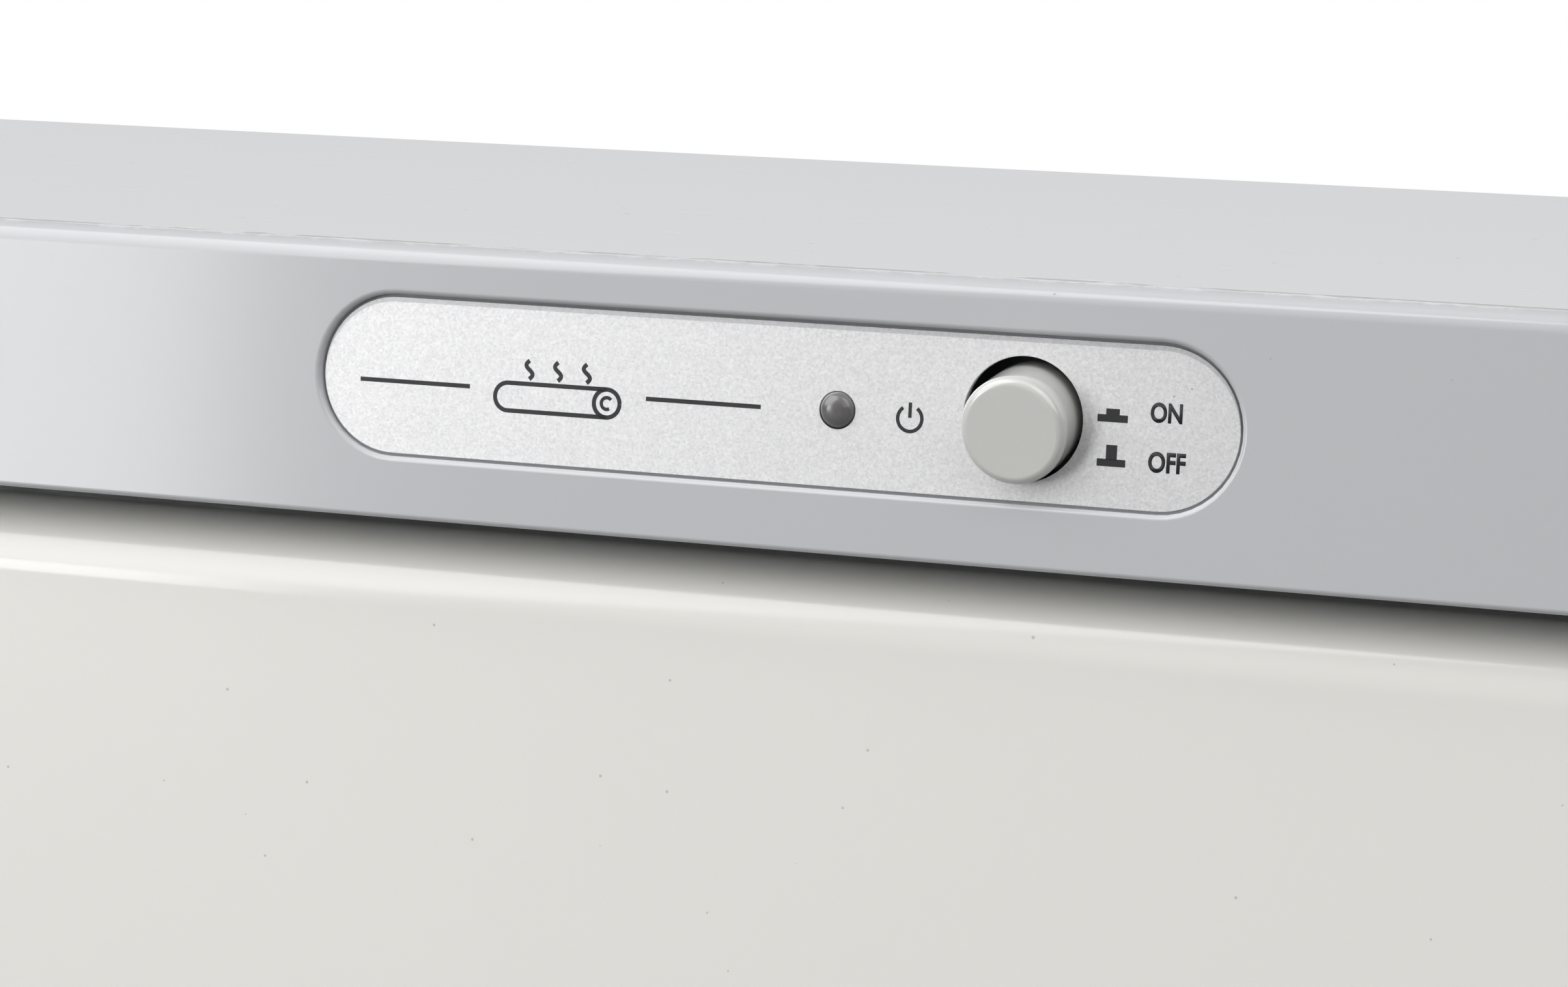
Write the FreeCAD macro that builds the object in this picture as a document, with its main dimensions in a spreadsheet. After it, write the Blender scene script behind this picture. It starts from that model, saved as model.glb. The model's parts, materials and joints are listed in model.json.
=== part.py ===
"""Countertop hot-towel cabinet with a drop-down door, push switch and drip tray.

Millimetres, +Z up. The origin is the bottom centre of the whole cabinet, the front faces -Y and the
right-hand side, seen from the front, is +X.
"""
import FreeCAD, Part
import Sketcher
import math
import os

# Driving dimensions

DIMENSIONS = [
    ("cabinet_width", 450, "outer width of the case"),
    ("cabinet_depth", 268, "lip plane of the front frame to the outside of the rear panel"),
    ("cabinet_height", 265, "table to the top of the case"),
    ("foot_height", 11, "rubber foot below the base pan"),
    ("foot_radius", 11, "rubber foot at its widest"),
    ("foot_inset", 26, "foot centre in from the case side and front"),
    ("steel_gauge", 1, "case, base and rear sheet"),
    ("case_bend", 3.5, "outer bend radius of the case"),
    ("sleeve_fit", 0.1, "case sheet to the moulding inside it"),
    ("fascia_height", 39, "top of the case to the lip of the fascia"),
    ("fascia_lean", 2.6, "degrees that the fascia leans back"),
    ("fascia_wall", 3.4, "thickness of the leaning front wall"),
    ("moulding_wall", 2.5, "walls of the front frame"),
    ("edge_radius", 3, "rounded front edge of the frame"),
    ("seam_back", 5, "lip plane back to the edge of the case sheet"),
    ("lip_radius", 0.8, "rolled lower edge of the fascia"),
    ("stile_width", 14, "frame beside the door"),
    ("sill_height", 24, "frame below the door"),
    ("seal_land", 21, "sealing face beside the chamber mouth"),
    ("seal_land_top", 18, "sealing face above the chamber mouth"),
    ("seal_land_bottom", 22, "sealing face below the chamber mouth"),
    ("seal_gap", 3, "door back to the sealing face"),
    ("door_setback", 5, "door face behind the lip plane"),
    ("door_thick", 24, "depth of the door moulding"),
    ("door_wall", 2.5, "walls of the door moulding"),
    ("door_side_gap", 1.5, "door to each stile"),
    ("door_top_gap", 2.8, "door to the lip above"),
    ("door_heel_gap", 2.3, "door to the sill below"),
    ("door_top_radius", 10.5, "large rounded top edge of the door"),
    ("door_edge_radius", 5, "other outer edges of the door"),
    ("hinge_rise", 6, "hinge axis above the lower edge of the door"),
    ("hinge_inset", 8, "hinge axis behind the door face"),
    ("pin_radius", 2.5, "hinge pin"),
    ("pin_fit", 0.05, "radial clearance round the hinge pin"),
    ("pin_grip", 14, "hinge pin inside the door"),
    ("pull_drop", 80, "lip down to the mouth of the door pull"),
    ("pull_width", 96, "mouth of the door pull"),
    ("pull_height", 18, "mouth of the door pull"),
    ("pull_depth", 13, "depth of the door pull"),
    ("pull_undercut", 11, "finger room behind the upper edge of the pull"),
    ("pull_lip", 3, "thickness of the upper edge of the pull"),
    ("plug_height", 4, "raised field on the inside of the door"),
    ("gasket_width", 5, "sealing ring, seen from the front"),
    ("seat_gap", 0.3, "parts that close against each other"),
    ("magnet_width", 40, "magnetic catch"),
    ("magnet_height", 6, "magnetic catch"),
    ("magnet_depth", 10, "magnetic catch"),
    ("magnet_stand", 1.4, "catch in front of the sealing face"),
    ("plate_drop", 18.65, "top of the case to the centre of the name plate"),
    ("plate_right", 68, "name plate right of the middle of the fascia"),
    ("recess_radius", 11.5, "rounded ends of the plate recess"),
    ("recess_reach", 56.6, "centre of the recess to the centre of each rounded end"),
    ("recess_depth", 1.6, "plate recess in the fascia"),
    ("recess_round", 0.8, "rounded rim of the plate recess"),
    ("plate_fit", 0.4, "name plate to the edge of its recess"),
    ("plate_thick", 0.6, "name plate"),
    ("plate_glue", 0.05, "adhesive under the name plate"),
    ("button_right", 37.3, "centre of the plate to the push button"),
    ("button_hole", 8.5, "radius of the hole in the plate for the button"),
    ("button_radius", 7.42, "push button"),
    ("button_sag", 0.5, "button below the centre of its hole"),
    ("button_proud", 4.5, "button in front of the plate when off"),
    ("button_length", 10.5, "depth of the button cap"),
    ("button_wall", 1.3, "walls of the button cap"),
    ("button_round", 1.2, "rounded front edge of the button"),
    ("button_travel", 2.2, "full travel of the button"),
    ("lamp_right", 10.65, "centre of the plate to the power lamp"),
    ("lamp_drop", 0.56, "power lamp below the centre of the plate"),
    ("lamp_radius", 2.5, "power lamp lens"),
    ("lamp_dome", 1.3, "lens in front of the plate"),
    ("switch_side", 16, "square body of the push switch"),
    ("switch_length", 20, "square body of the push switch"),
    ("snout_radius", 5, "round nose of the push switch"),
    ("snout_length", 8, "round nose of the push switch"),
    ("plunger_radius", 1.5, "stem of the push switch"),
    ("bracket_back", 17, "lip plane back to the switch bracket"),
    ("bracket_gauge", 1.2, "switch bracket"),
    ("bracket_reach", 17, "switch axis to each bracket screw"),
    ("chamber_gauge", 1, "aluminium sheet of the warming chamber"),
    ("chamber_corner", 6, "bend radius of the chamber"),
    ("chamber_flange", 9, "front flange of the chamber"),
    ("jacket_thick", 10, "insulation round the chamber"),
    ("heater_thick", 1.4, "foil heater with its backing"),
    ("rear_space", 22, "insulation to the inside of the rear panel"),
    ("drain_radius", 3, "bore of the drain tube"),
    ("drain_wall", 1.2, "wall of the drain tube"),
    ("tray_inset", 35, "drip tray in from each stile"),
    ("tray_wall", 1.8, "walls of the drip tray"),
    ("tray_gap", 0.8, "drip tray to its slot in the frame"),
    ("tray_travel", 120, "how far the drip tray slides out"),
    ("tray_held", 45, "drip tray still in its guides when pulled out"),
    ("guide_gauge", 1.5, "drip tray guides"),
    ("rack_wire", 1.6, "radius of the rack's frame wire"),
    ("rack_rod", 1.1, "radius of the rack's cross rods"),
    ("rack_rods", 21, "cross rods in a rack"),
    ("rack_side_gap", 2.9, "rack to the chamber wall"),
    ("lower_rack_rise", 10, "chamber floor to the lower rack"),
    ("upper_rack_rise", 78, "chamber floor to the upper rack"),
    ("ledge_width", 9, "ledge that carries a rack"),
    ("louvre_width", 120, "vent slot in the rear panel"),
    ("louvre_pitch", 9, "spacing of the vent slots"),
    ("louvre_count", 7, "vent slots"),
    ("louvre_stand", 3, "hood of a vent slot behind the panel"),
    ("gland_right", 165, "cord gland from the middle of the rear panel"),
    ("gland_rise", 24, "cord gland above the base pan"),
    ("gland_bore", 3.6, "cord gland, radius of its bore"),
    ("gland_radius", 6, "cord gland in the panel"),
    ("gland_head", 9, "radius of the gland's collar and nut"),
    ("gland_out", 7, "collar behind the rear panel"),
    ("screw_radius", 1.5, "shank of the small screws"),
    ("screw_head", 2.9, "head of the small screws"),
    ("screw_cap", 1.6, "height of the heads"),
]

document = FreeCAD.newDocument("towel_cabinet")
sheet = document.addObject("Spreadsheet::Sheet", "sizes")


class Size:
    """A length, angle or count: its formula on the sheet, and what that comes to."""

    def __init__(self, formula, amount):
        self.formula = formula
        self.amount = amount

    def __float__(self):
        return float(self.amount)

    def __neg__(self):
        return Size(f"(0 - {self.formula})", -self.amount)

    def __add__(self, other):
        other = size(other)
        return Size(f"({self.formula} + {other.formula})", self.amount + other.amount)

    def __sub__(self, other):
        other = size(other)
        return Size(f"({self.formula} - {other.formula})", self.amount - other.amount)

    def __mul__(self, other):
        other = size(other)
        return Size(f"({self.formula} * {other.formula})", self.amount * other.amount)

    def __truediv__(self, other):
        other = size(other)
        return Size(f"({self.formula} / {other.formula})", self.amount / other.amount)

    __radd__ = __add__
    __rmul__ = __mul__

    def __rsub__(self, other):
        return size(other) - self


def size(value):
    """A plain number as a size."""
    return value if isinstance(value, Size) else Size(repr(value), value)


def sine(angle):
    """The sine of an angle in degrees."""
    return Size(f"sin({angle.formula})", math.sin(math.radians(angle.amount)))


def cosine(angle):
    """The cosine of an angle in degrees."""
    return Size(f"cos({angle.formula})", math.cos(math.radians(angle.amount)))


def fill_sheet():
    """Write the driving dimensions to the sheet and hand them back by name."""
    values = {}
    for row, (alias, amount, meaning) in enumerate(DIMENSIONS, 1):
        sheet.set(f"A{row}", alias)
        sheet.set(f"B{row}", str(amount))
        sheet.set(f"C{row}", meaning)
        sheet.setAlias(f"B{row}", alias)
        values[alias] = Size(f"sizes.{alias}", amount)
    document.recompute()
    return values


S = fill_sheet()

# Levels and planes that several pieces share

half_width = S["cabinet_width"] / 2
top = S["cabinet_height"]
pan_bottom = S["foot_height"]
floor_level = pan_bottom + S["steel_gauge"]
lip = top - S["fascia_height"]
sill = floor_level + S["sill_height"]

plate_level = top - S["plate_drop"]
lean_slope = sine(S["fascia_lean"]) / cosine(S["fascia_lean"])
plate_sink = S["recess_depth"] - S["plate_thick"] - S["plate_glue"]
fascia_at_plate = (plate_level - lip) * lean_slope
button_lead = S["button_proud"] - fascia_at_plate - plate_sink

front = (button_lead - S["cabinet_depth"] - S["gland_out"]) / 2
rear = front + S["cabinet_depth"]
seam = front + S["seam_back"]
door_face = front + S["door_setback"]
door_back = door_face + S["door_thick"]
seal_face = door_back + S["seal_gap"]
frame_back = seal_face + S["moulding_wall"]

opening_half = half_width - S["stile_width"]
mouth_half = opening_half - S["seal_land"]
mouth_top = lip - S["seal_land_top"]
mouth_bottom = sill + S["seal_land_bottom"]

sleeve_half = half_width - S["steel_gauge"] - S["sleeve_fit"]
sleeve_top = top - S["steel_gauge"] - S["sleeve_fit"]

jacket_back = rear - S["steel_gauge"] - S["rear_space"]
chamber_back = jacket_back - S["jacket_thick"]

door_half = opening_half - S["door_side_gap"]
door_bottom = sill + S["door_heel_gap"]
door_top = lip - S["door_top_gap"]
hinge_y = door_face + S["hinge_inset"]
hinge_z = door_bottom + S["hinge_rise"]

button_level = plate_level - S["button_sag"]
button_across = S["plate_right"] + S["button_right"]
button_face = fascia_at_plate + front + plate_sink - S["button_proud"]

# Small allowances that several pieces share: room to cut well clear of a solid, how far a plain cut
# starts before and ends behind what it cuts, parts pushed into one another, posts for the screws

SPARE = 5
PAST = 1
LOOSE = 0.1
BOSS_RADIUS = 3.2
BOSS_ROOT = 0.5
SCREW_BITE = 7
SCREW_END_GAP = 1

# Ways of drawing and cutting that every piece shares

PLANES = {"XY": ("XY_Plane", 1), "XZ": ("XZ_Plane", -1), "YZ": ("YZ_Plane", 1)}


def new_body(name):
    body = document.addObject("PartDesign::Body", name)
    body.Label = name
    return body


def bind(target, path, value):
    """Tie a property to its formula on the sheet."""
    target.setExpression(path, size(value).formula)


def place(body, across, deep, high, lean=None):
    """Stand a body's own origin in the cabinet, leaning back with the fascia if asked."""
    if lean is not None:
        body.Placement = FreeCAD.Placement(
            FreeCAD.Vector(), FreeCAD.Rotation(FreeCAD.Vector(1, 0, 0), -lean.amount)
        )
        bind(body, "Placement.Rotation.Angle", -lean)
    bind(body, "Placement.Base.x", across)
    bind(body, "Placement.Base.y", deep)
    bind(body, "Placement.Base.z", high)


def new_sketch(body, plane, level=0, name="outline"):
    """A sketch on one of the body's own origin planes, or parallel to it at a level."""
    role, facing = PLANES[plane]
    sketch = body.newObject("Sketcher::SketchObject", f"{body.Name}_{name}")
    base = [item for item in body.Origin.OriginFeatures if item.Role == role][0]
    sketch.AttachmentSupport = [(base, "")]
    sketch.MapMode = "FlatFace"
    level = size(level)
    offset = level if facing > 0 else -level
    sketch.AttachmentOffset = FreeCAD.Placement(
        FreeCAD.Vector(0, 0, offset.amount), FreeCAD.Rotation()
    )
    bind(sketch, "AttachmentOffset.Base.z", offset)
    return sketch


def pin_point(sketch, item, end, across, up):
    """Hold one point of a sketch at two sizes from the sketch's origin."""
    across_index = sketch.addConstraint(
        Sketcher.Constraint("DistanceX", -1, 1, item, end, float(size(across)))
    )
    bind(sketch, f"Constraints[{across_index}]", across)
    up_index = sketch.addConstraint(
        Sketcher.Constraint("DistanceY", -1, 1, item, end, float(size(up)))
    )
    bind(sketch, f"Constraints[{up_index}]", up)


def flat_vector(point):
    return FreeCAD.Vector(float(size(point[0])), float(size(point[1])), 0)


def outline(sketch, points):
    """A closed outline of straight lines through the points."""
    lines = []
    for start, end in zip(points, points[1:] + points[:1]):
        line = Part.LineSegment(flat_vector(start), flat_vector(end))
        lines.append(sketch.addGeometry(line, False))
    for index, line in enumerate(lines):
        following = lines[(index + 1) % len(lines)]
        sketch.addConstraint(Sketcher.Constraint("Coincident", line, 2, following, 1))
    for line, point in zip(lines, points):
        pin_point(sketch, line, 1, *point)
    return sketch


def rectangle(sketch, left, right, low, high):
    return outline(sketch, [(left, low), (right, low), (right, high), (left, high)])


def disc(sketch, across, up, radius):
    """A circle at a place in a sketch."""
    circle = Part.Circle(
        flat_vector((across, up)), FreeCAD.Vector(0, 0, 1), float(size(radius))
    )
    item = sketch.addGeometry(circle, False)
    pin_point(sketch, item, 3, across, up)
    index = sketch.addConstraint(Sketcher.Constraint("Radius", item, float(size(radius))))
    bind(sketch, f"Constraints[{index}]", radius)
    return sketch


def stadium(sketch, reach, radius):
    """A pill about the sketch's origin: two half circles and the lines between them."""
    far = float(reach)
    round_end = float(radius)
    centre_right = FreeCAD.Vector(far, 0, 0)
    centre_left = FreeCAD.Vector(-far, 0, 0)
    up = FreeCAD.Vector(0, 0, 1)
    quarter = math.pi / 2
    right = sketch.addGeometry(
        Part.ArcOfCircle(Part.Circle(centre_right, up, round_end), -quarter, quarter), False
    )
    left = sketch.addGeometry(
        Part.ArcOfCircle(Part.Circle(centre_left, up, round_end), quarter, 3 * quarter), False
    )
    upper = sketch.addGeometry(
        Part.LineSegment(FreeCAD.Vector(far, round_end, 0), FreeCAD.Vector(-far, round_end, 0)),
        False,
    )
    lower = sketch.addGeometry(
        Part.LineSegment(FreeCAD.Vector(-far, -round_end, 0), FreeCAD.Vector(far, -round_end, 0)),
        False,
    )
    for first, first_end, second, second_end in (
        (right, 2, upper, 1),
        (upper, 2, left, 1),
        (left, 2, lower, 1),
        (lower, 2, right, 1),
    ):
        sketch.addConstraint(
            Sketcher.Constraint("Tangent", first, first_end, second, second_end)
        )
    pin_point(sketch, right, 3, reach, 0)
    pin_point(sketch, left, 3, -reach, 0)
    index = sketch.addConstraint(Sketcher.Constraint("Radius", right, round_end))
    bind(sketch, f"Constraints[{index}]", radius)
    return sketch


def discs(sketch, places, radius):
    """Equal circles at several places in a sketch."""
    for across, up in places:
        disc(sketch, across, up, radius)
    return sketch


def both_sides(across, levels):
    """Places at each level, left and right of the middle."""
    return [(side, level) for side in (-across, across) for level in levels]


def facing_of(sketch):
    """Which way a sketch's normal runs along its world axis."""
    role = sketch.AttachmentSupport[0][0].Role
    return [sign for name, sign in PLANES.values() if name == role][0]


def grow(body, kind, sketch, length, along, both=False):
    feature = body.newObject(f"PartDesign::{kind}", f"{body.Name}_{kind.lower()}")
    feature.Profile = sketch
    feature.Length = float(size(length))
    bind(feature, "Length", length)
    facing = facing_of(sketch)
    feature.Reversed = along != facing if kind == "Pad" else along == facing
    if both:
        feature.SideType = "Symmetric"
    sketch.Visibility = False
    return feature


def pad(body, sketch, length, along=1, both=False):
    """Add the sketch's area, grown towards + or - on the axis across it."""
    return grow(body, "Pad", sketch, length, along, both)


def pocket(body, sketch, length, along=1, both=False):
    """Cut the sketch's area, towards + or - on the axis across it, and see that it cuts."""
    document.recompute()
    before = body.Shape.Volume
    feature = grow(body, "Pocket", sketch, length, along, both)
    document.recompute()
    if body.Shape.Volume > before - 1e-3:
        raise RuntimeError(f"{feature.Name} cuts nothing")
    return feature


def turned(body, kind, sketch, axis):
    """A revolution or groove about the sketch's own H_Axis or V_Axis."""
    feature = body.newObject(f"PartDesign::{kind}", f"{body.Name}_{kind.lower()}")
    feature.Profile = sketch
    feature.ReferenceAxis = (sketch, [axis])
    feature.Angle = 360.0
    sketch.Visibility = False
    return feature


def lies_at(edge, **levels):
    """True where an edge lies wholly at the levels given, such as x=5 or z=0."""
    for axis, level in levels.items():
        for vertex in edge.Vertexes:
            if abs(getattr(vertex, axis.upper()) - float(size(level))) > 1e-4:
                return False
    return True


def edges_where(body, *tests):
    """Names of the edges of a body that pass any of the tests."""
    document.recompute()
    names = []
    for number, edge in enumerate(body.Tip.Shape.Edges, 1):
        if any(test(edge) for test in tests):
            names.append(f"Edge{number}")
    if not names:
        raise RuntimeError(f"{body.Name} has no such edge")
    return names


def fillet(body, radius, *tests):
    """Round the edges that pass any of the tests."""
    names = edges_where(body, *tests)
    base = body.Tip
    feature = body.newObject("PartDesign::Fillet", f"{body.Name}_fillet")
    feature.Base = (base, names)
    feature.Radius = float(size(radius))
    bind(feature, "Radius", radius)
    return feature


def corner_along(axis):
    """A test for the straight edges that run along one axis."""

    def test(edge):
        if len(edge.Vertexes) != 2:
            return False
        start, end = (vertex.Point for vertex in edge.Vertexes)
        gap = start - end
        return abs(abs(getattr(gap, axis)) - gap.Length) < 1e-6

    return test


def open_faces(body, thickness, *tests):
    """Hollow a body to a wall thickness, leaving out the faces that pass a test."""
    document.recompute()
    base = body.Tip
    names = []
    for number, face in enumerate(base.Shape.Faces, 1):
        if any(test(face) for test in tests):
            names.append(f"Face{number}")
    feature = body.newObject("PartDesign::Thickness", f"{body.Name}_shell")
    feature.Base = (base, names)
    feature.Value = float(size(thickness))
    bind(feature, "Value", thickness)
    feature.Reversed = True
    feature.Join = 1
    return feature


def repeat(body, kinds, axis_role, spacing, count):
    """Copies of the named features in a row along one of the body's origin axes."""
    document.recompute()
    pattern = body.newObject("PartDesign::LinearPattern", f"{body.Name}_pattern")
    pattern.Originals = kinds
    axis = [item for item in body.Origin.OriginFeatures if item.Role == axis_role][0]
    pattern.Direction = (axis, [""])
    pattern.Mode = "Spacing"
    pattern.Offset = float(size(spacing))
    bind(pattern, "Offset", spacing)
    pattern.Occurrences = int(float(count))
    bind(pattern, "Occurrences", count)
    body.Tip = pattern
    return pattern


# Front frame: one moulding with the leaning fascia, the door opening and the sealing face

MOUTH_CORNER = 5
FASCIA_HOLE_FIT = 0.4
LENS_COLLAR = 0.7
FLANGE_SCREW_IN = 0.6
FLANGE_SCREW_SHARES = (0.12, 0.5, 0.88)
GASKET_SET = 2
MAGNET_ABOVE_GASKET = 1
FRAME_SCREW_BACK = 20
FRAME_SCREW_ABOVE_SILL = 10
FRAME_SCREW_BELOW_LIP = 12
HINGE_SCREW_REACH = 8
BLIND_SKIN = 0.3


def on_fascia(body, name):
    """A sketch on the leaning front of the fascia, its origin at the middle of the name plate."""
    sketch = new_sketch(body, "XZ", 0, name)
    sketch.AttachmentOffset = FreeCAD.Placement(
        FreeCAD.Vector(), FreeCAD.Rotation(FreeCAD.Vector(1, 0, 0), -S["fascia_lean"].amount)
    )
    bind(sketch, "AttachmentOffset.Rotation.Angle", -S["fascia_lean"])
    bind(sketch, "AttachmentOffset.Base.x", S["plate_right"])
    bind(sketch, "AttachmentOffset.Base.y", plate_level)
    bind(sketch, "AttachmentOffset.Base.z", -(front + fascia_at_plate))
    return sketch


def fascia_plane(level, behind=0):
    """How far back the leaning fascia, or a plane behind it, stands at a level."""
    return front + behind + (level - lip) * lean_slope


chamber_screw_across = mouth_half + S["chamber_flange"] * FLANGE_SCREW_IN
chamber_screw_levels = [
    mouth_bottom + (mouth_top - mouth_bottom) * share for share in FLANGE_SCREW_SHARES
]
magnet_bottom = mouth_top + GASKET_SET + S["gasket_width"] + MAGNET_ABOVE_GASKET
magnet_top = magnet_bottom + S["magnet_height"]
magnet_half = S["magnet_width"] / 2
tray_bottom = floor_level + S["guide_gauge"] + S["seat_gap"]
slot_bottom = tray_bottom - S["tray_gap"]
slot_top = sill - S["moulding_wall"]
tray_top = slot_top - S["tray_gap"]
tray_half = opening_half - S["tray_inset"]
slot_half = tray_half + S["tray_gap"]
hinge_hole = S["pin_radius"] + S["pin_fit"]
frame_screw_deep = front + FRAME_SCREW_BACK
frame_screw_levels = [sill + FRAME_SCREW_ABOVE_SILL, lip - FRAME_SCREW_BELOW_LIP]
hinge_screw_levels = [hinge_z - HINGE_SCREW_REACH, hinge_z + HINGE_SCREW_REACH]


def front_frame():
    body = new_body("front_frame")
    block = rectangle(new_sketch(body, "XZ", front), -half_width, half_width, floor_level, top)
    pad(body, block, frame_back - front)

    above = top + SPARE
    wedge = outline(
        new_sketch(body, "YZ", 0, "lean"),
        [
            (front - SPARE, lip),
            (front, lip),
            (fascia_plane(above), above),
            (front - SPARE, above),
        ],
    )
    pocket(body, wedge, half_width * 2 + SPARE, both=True)

    fillet(
        body,
        S["case_bend"],
        lambda edge: lies_at(edge, x=half_width, z=top),
        lambda edge: lies_at(edge, x=-half_width, z=top),
    )

    def on_front_rim(edge):
        if lies_at(edge, z=lip):
            return False
        for vertex in edge.Vertexes:
            lean = max(0.0, vertex.Z - float(lip)) * lean_slope.amount
            if abs(vertex.Y - float(front) - lean) > 1e-4:
                return False
        return True

    fillet(body, S["edge_radius"], on_front_rim)

    rim = new_sketch(body, "XZ", seam, "sleeve")
    outer = half_width + SPARE
    rectangle(rim, -outer, outer, floor_level - SPARE * 2, top + SPARE)
    rectangle(rim, -sleeve_half, sleeve_half, floor_level - SPARE, sleeve_top)
    pocket(body, rim, frame_back - seam + SPARE)
    fillet(
        body,
        S["case_bend"] - S["steel_gauge"] - S["sleeve_fit"],
        lambda edge: lies_at(edge, x=sleeve_half, z=sleeve_top),
        lambda edge: lies_at(edge, x=-sleeve_half, z=sleeve_top),
    )

    opening = rectangle(
        new_sketch(body, "XZ", front - SPARE, "opening"), -opening_half, opening_half, sill, lip
    )
    pocket(body, opening, seal_face - front + SPARE)
    fillet(
        body,
        S["lip_radius"],
        lambda edge: lies_at(edge, y=front, z=lip) and edge.Length > float(opening_half),
    )
    fillet(
        body,
        S["lip_radius"],
        lambda edge: lies_at(edge, y=front, z=sill),
        lambda edge: lies_at(edge, y=front, x=opening_half),
        lambda edge: lies_at(edge, y=front, x=-opening_half),
    )

    mouth = rectangle(
        new_sketch(body, "XZ", seal_face - PAST, "mouth"),
        -mouth_half,
        mouth_half,
        mouth_bottom,
        mouth_top,
    )
    pocket(body, mouth, S["moulding_wall"] + SPARE)
    fillet(
        body,
        MOUTH_CORNER,
        lambda edge: lies_at(edge, x=mouth_half, z=mouth_bottom),
        lambda edge: lies_at(edge, x=mouth_half, z=mouth_top),
        lambda edge: lies_at(edge, x=-mouth_half, z=mouth_bottom),
        lambda edge: lies_at(edge, x=-mouth_half, z=mouth_top),
    )

    low = lip + S["moulding_wall"]
    high = sleeve_top - S["moulding_wall"]
    cavity = outline(
        new_sketch(body, "YZ", 0, "cavity"),
        [
            (fascia_plane(low, S["fascia_wall"]), low),
            (frame_back + SPARE, low),
            (frame_back + SPARE, high),
            (fascia_plane(high, S["fascia_wall"]), high),
        ],
    )
    pocket(body, cavity, (sleeve_half - S["moulding_wall"]) * 2, both=True)

    cores = new_sketch(body, "XZ", frame_back + SPARE, "stile_cores")
    near = opening_half + S["moulding_wall"]
    far = sleeve_half - S["moulding_wall"]
    rectangle(cores, near, far, floor_level + S["moulding_wall"], lip)
    rectangle(cores, -far, -near, floor_level + S["moulding_wall"], lip)
    pocket(body, cores, frame_back + SPARE - front - S["fascia_wall"], along=-1)

    slot = rectangle(
        new_sketch(body, "XZ", front - SPARE, "tray_slot"),
        -slot_half,
        slot_half,
        slot_bottom,
        slot_top,
    )
    pocket(body, slot, frame_back - front + SPARE * 2)

    recess = stadium(on_fascia(body, "recess"), S["recess_reach"], S["recess_radius"])
    pocket(body, recess, S["recess_depth"])
    inward = float(opening_half)

    def on_recess_rim(edge):
        for vertex in edge.Vertexes:
            lean = (vertex.Z - float(lip)) * lean_slope.amount
            if abs(vertex.X) > inward - SPARE or abs(vertex.Y - float(front) - lean) > 1e-4:
                return False
        return edge.BoundBox.ZMin > float(lip + S["lip_radius"]) + PAST

    fillet(body, S["recess_round"], on_recess_rim)

    holes = on_fascia(body, "holes")
    disc(holes, S["button_right"], 0, S["button_hole"] + FASCIA_HOLE_FIT)
    disc(holes, S["lamp_right"], -S["lamp_drop"], S["lamp_radius"] + LENS_COLLAR + FASCIA_HOLE_FIT)
    pocket(body, holes, S["fascia_wall"] + SPARE)

    bosses = new_sketch(body, "XZ", front + S["bracket_back"], "bosses")
    boss_places = [
        (button_across + S["bracket_reach"] * side, button_level) for side in (-1, 1)
    ]
    discs(bosses, boss_places, BOSS_RADIUS)
    pad(
        body,
        bosses,
        S["bracket_back"] - fascia_at_plate - S["fascia_wall"] + BOSS_ROOT,
        along=-1,
    )
    bores = new_sketch(body, "XZ", front + S["bracket_back"], "boss_bores")
    pocket(body, discs(bores, boss_places, S["screw_radius"]), SCREW_BITE, along=-1)

    pivots = disc(new_sketch(body, "YZ", 0, "pivots"), hinge_y, hinge_z, hinge_hole)
    discs(pivots, [(hinge_y, level) for level in hinge_screw_levels], S["screw_radius"])
    pocket(body, pivots, (opening_half + S["moulding_wall"] + PAST) * 2, both=True)

    window = rectangle(
        new_sketch(body, "XZ", seal_face - PAST, "magnet_window"),
        -magnet_half,
        magnet_half,
        magnet_bottom,
        magnet_top,
    )
    pocket(body, window, S["moulding_wall"] + SPARE)

    screws = new_sketch(body, "XZ", frame_back + PAST, "chamber_screws")
    discs(screws, both_sides(chamber_screw_across, chamber_screw_levels), S["screw_radius"])
    pocket(body, screws, S["moulding_wall"] + PAST - BLIND_SKIN, along=-1)

    for side, name in ((1, "case_screws_right"), (-1, "case_screws_left")):
        holes = new_sketch(body, "YZ", (sleeve_half + PAST) * side, name)
        discs(holes, [(frame_screw_deep, level) for level in frame_screw_levels], S["screw_radius"])
        pocket(body, holes, S["moulding_wall"] + PAST * 2, along=-side)
    return body


# Case: a bent steel sheet over the top and both sides, a base pan and a louvred rear panel

PAN_FLANGE = 12
PAN_SET = 1
PAN_SCREW_FRONT = 25
PAN_SCREW_BACK = 40
REAR_FLANGE = 10
REAR_CORNER_RELIEF = 2
REAR_SCREW_SIDE = 30
REAR_SCREW_DROP = 16
HOOD_DROP = 46
HOOD_DEPTH = 1.6
SLOPE = math.sqrt(2)
pan_screw_level = floor_level + PAN_FLANGE / 2
pan_screw_deeps = [frame_back + PAN_SCREW_FRONT, rear - PAN_SCREW_BACK]
pan_half = half_width - S["steel_gauge"] * 2 - S["sleeve_fit"] * 2
rear_inner = rear - S["steel_gauge"]
rear_screw_across = half_width - REAR_SCREW_SIDE
rear_screw_levels = [pan_screw_level, (floor_level + top) / 2, top - REAR_SCREW_DROP]
gland_level = floor_level + S["gland_rise"]


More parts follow.
